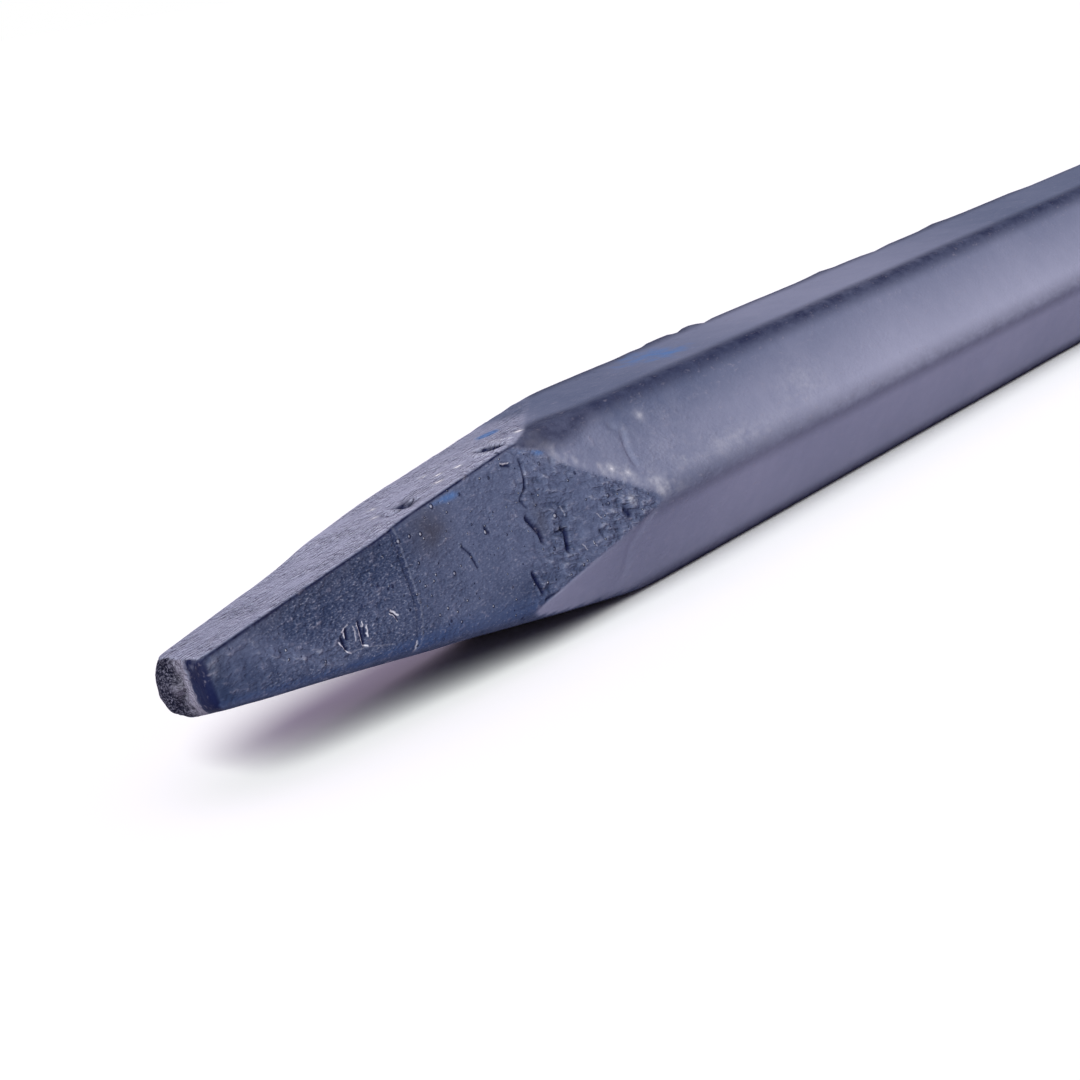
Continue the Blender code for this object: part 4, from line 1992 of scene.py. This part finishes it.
def patches() -> dict[str, tuple[Blot, ...]]:
    """Where fresh paint, soot and chalky dust lie, with one painted highlight.

    Returns:
        The patches of each kind, by the name of the bar's field that holds them.
    """
    near, top, flat, upper = Side.NEAR_FACET, Side.TOP_FACET, Side.STOCK_TOP, Side.STOCK_UPPER
    white = 3.0
    flecks = (
        ((50.1, 0.6), (0.5, 0.7)),
        ((49.0, -2.4), (0.5, 0.5)),
        ((45.4, -4.8), (0.6, 0.6)),
        ((50.2, -4.6), (0.5, 0.4)),
        ((37.1, -1.2), (0.5, 0.5)),
        ((59.6, -7.6), (0.6, 0.6)),
    )
    return {
        "fresh_blots": (
            Blot(near, (40.4, 7.6), (3.6, 0.7), 0.55),
            Blot(near, (58.4, 8.3), (2.0, 0.7), 0.80),
            Blot(near, (54.6, 9.0), (1.5, 0.6), 0.50),
            Blot(top, (63.0, -0.8), (1.4, 1.8), 1.20),
            Blot(flat, (102.0, 1.5), (9.0, 5.5), 0.62),
        ),
        "soot_blots": (
            Blot(near, (36.4, 5.2), (3.2, 2.8), 0.62),
            Blot(near, (54.3, 0.9), (1.0, 2.2), 0.45),
        ),
        "chalk_blots": (
            # Painted highlight at the near facet's top front corner.
            Blot(near, (0.6, 1.6), (0.9, 1.3), 0.22),
            Blot(near, (60.8, 6.8), (2.4, 0.9), 0.45),
            Blot(upper, (96.0, -4.7), (11.0, 1.6), 0.30),
            Blot(upper, (79.7, 3.6), (0.7, 0.7), 0.60),
            *(Blot(top, middle, half, white) for middle, half in flecks),
            Blot(top, (41.4, 2.6), (0.5, 0.5), 2.4),
            Blot(upper, (82.7, -3.8), (0.6, 0.6), 0.8),
            Blot(upper, (117.0, -2.0), (6.0, 3.0), 0.22),
        ),
    }


@dataclass(frozen=True)
class PaleFloor:
    """A plain white table top, which keeps the bar's shadow."""

    half_size: float = 12.0
    under: float = 0.1 * MM
    colour: Colour = (0.97, 0.98, 0.96)
    bounce_colour: Colour = (0.80, 0.76, 0.83)

    def build(self) -> bpy.types.Object:
        """Makes the table top as one flat face.

        Returns:
            The floor.
        """
        corners = np.array([(-1, -1, 0), (1, -1, 0), (1, 1, 0), (-1, 1, 0)]) * self.half_size
        mesh = bpy.data.meshes.new("table_top")
        mesh.from_pydata((corners - (0, 0, self.under)).tolist(), [], [(0, 1, 2, 3)])
        graph = Graph(bpy.data.materials.new("white_table"), "ShaderNodeOutputMaterial")
        shown = graph.node("ShaderNodeBsdfDiffuse", {}, {"Color": self.colour})
        bounced = graph.node("ShaderNodeBsdfDiffuse", {}, {"Color": self.bounce_colour})
        seen = graph.node("ShaderNodeLightPath", {}, {}).outputs["Is Camera Ray"]
        mesh.materials.append(graph.finish(graph.mixed(seen, bounced, shown)))
        floor = bpy.data.objects.new("table_top", mesh)
        bpy.context.scene.collection.objects.link(floor)
        return floor


@dataclass(frozen=True)
class Studio:
    """Plain soft studio light, and the camera close above the point."""

    picture_width: float = 1080.0
    focal_pixels: float = 2600.0
    sensor_width: float = 36.0
    yaw: float = math.radians(35.39)
    pitch: float = math.radians(12.861)
    roll: float = math.radians(-9.39)
    from_tip: Triple = (-187.55 * MM, -181.10 * MM, 68.30 * MM)

    key_direction: Triple = (-0.772, -0.328, 0.545)
    key_strength: float = 3.9
    key_colour: Colour = (0.99, 1.04, 0.98)
    key_spread: float = math.radians(31)
    room_level: float = 0.60
    horizon_share: float = 0.12
    room_colour: Colour = (1.0, 0.80, 1.12)

    def camera(self, tip: Vector) -> bpy.types.Object:
        """Aims the camera: turned by yaw, tipped down by pitch, then rolled about its own line.

        Args:
            tip: The point's end on the bar's axis.

        Returns:
            The scene's camera.
        """
        ahead = Vector((math.cos(self.yaw) * math.cos(self.pitch),
                        math.sin(self.yaw) * math.cos(self.pitch), -math.sin(self.pitch)))
        level = Vector((math.sin(self.yaw), -math.cos(self.yaw), 0))
        rise = level.cross(ahead)
        right = math.cos(self.roll) * level + math.sin(self.roll) * rise
        up = math.cos(self.roll) * rise - math.sin(self.roll) * level
        lens = bpy.data.cameras.new("camera")
        lens.sensor_width = self.sensor_width
        lens.lens = self.focal_pixels / self.picture_width * self.sensor_width
        lens.clip_start, lens.clip_end = 5 * MM, 50.0
        camera = bpy.data.objects.new("camera", lens)
        turn = Matrix((right, up, -ahead)).transposed().to_4x4()
        camera.matrix_world = Matrix.Translation(tip + Vector(self.from_tip)) @ turn
        bpy.context.scene.collection.objects.link(camera)
        bpy.context.scene.camera = camera
        return camera

    def key(self) -> bpy.types.Object:
        """A broad soft light from above the camera and a little to its left, even over the bar.

        Returns:
            The light.
        """
        lamp = bpy.data.lights.new("key", "SUN")
        lamp.energy, lamp.angle = self.key_strength, self.key_spread
        lamp.color = self.key_colour
        light = bpy.data.objects.new("key", lamp)
        light.rotation_mode = "QUATERNION"
        light.rotation_quaternion = Vector(self.key_direction).to_track_quat("Z", "Y")
        bpy.context.scene.collection.objects.link(light)
        return light

    def room(self) -> None:
        """White to the camera and in reflections, and a fill from above for matt surfaces."""
        graph = Graph(bpy.data.worlds.new("room"), "ShaderNodeOutputWorld")
        heading = graph.node("ShaderNodeTexCoord", {}, {}).outputs["Generated"]
        height = graph.node("ShaderNodeSeparateXYZ", {}, {"Vector": heading}).outputs["Z"]
        horizon = self.room_level * self.horizon_share
        levels = {"Value": height, "To Min": horizon, "To Max": self.room_level}
        strength = graph.field("ShaderNodeMapRange", {}, levels)
        inputs = {"Color": self.room_colour, "Strength": strength}
        fill = graph.node("ShaderNodeBackground", {}, inputs)
        white = graph.node("ShaderNodeBackground", {}, {"Color": (1.0, 1.0, 1.0)})
        path = graph.node("ShaderNodeLightPath", {}, {}).outputs
        rays = ("Is Camera Ray", "Is Glossy Ray", "Is Transmission Ray")
        camera, glossy, passed = (Field(graph, path[name]) for name in rays)
        sight = camera.most(glossy).most(passed)
        bpy.context.scene.world = graph.finish(graph.mixed(sight, fill, white))


def main() -> None:
    logging.basicConfig(level=logging.INFO, format="%(name)s %(message)s")
    bpy.context.scene.view_settings.view_transform = "Standard"
    low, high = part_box(CAD_NODE)
    bar = ForgedBar(
        tip_x=low.x,
        edge_x=high.x,
        finish=SlatePaint(**fine_lines()),
        shades=film_shades(),
        strokes=cuts_and_lips(),
        **patches(),
    )
    studio = Studio()
    studio.camera(Vector((bar.tip_x, 0, bar.half_flats)))
    studio.key()
    studio.room()
    PaleFloor().build()
    piece = bar.build()
    log.info("%s has %d faces", piece.name, len(piece.data.polygons))


if __name__ == "__main__":
    main()
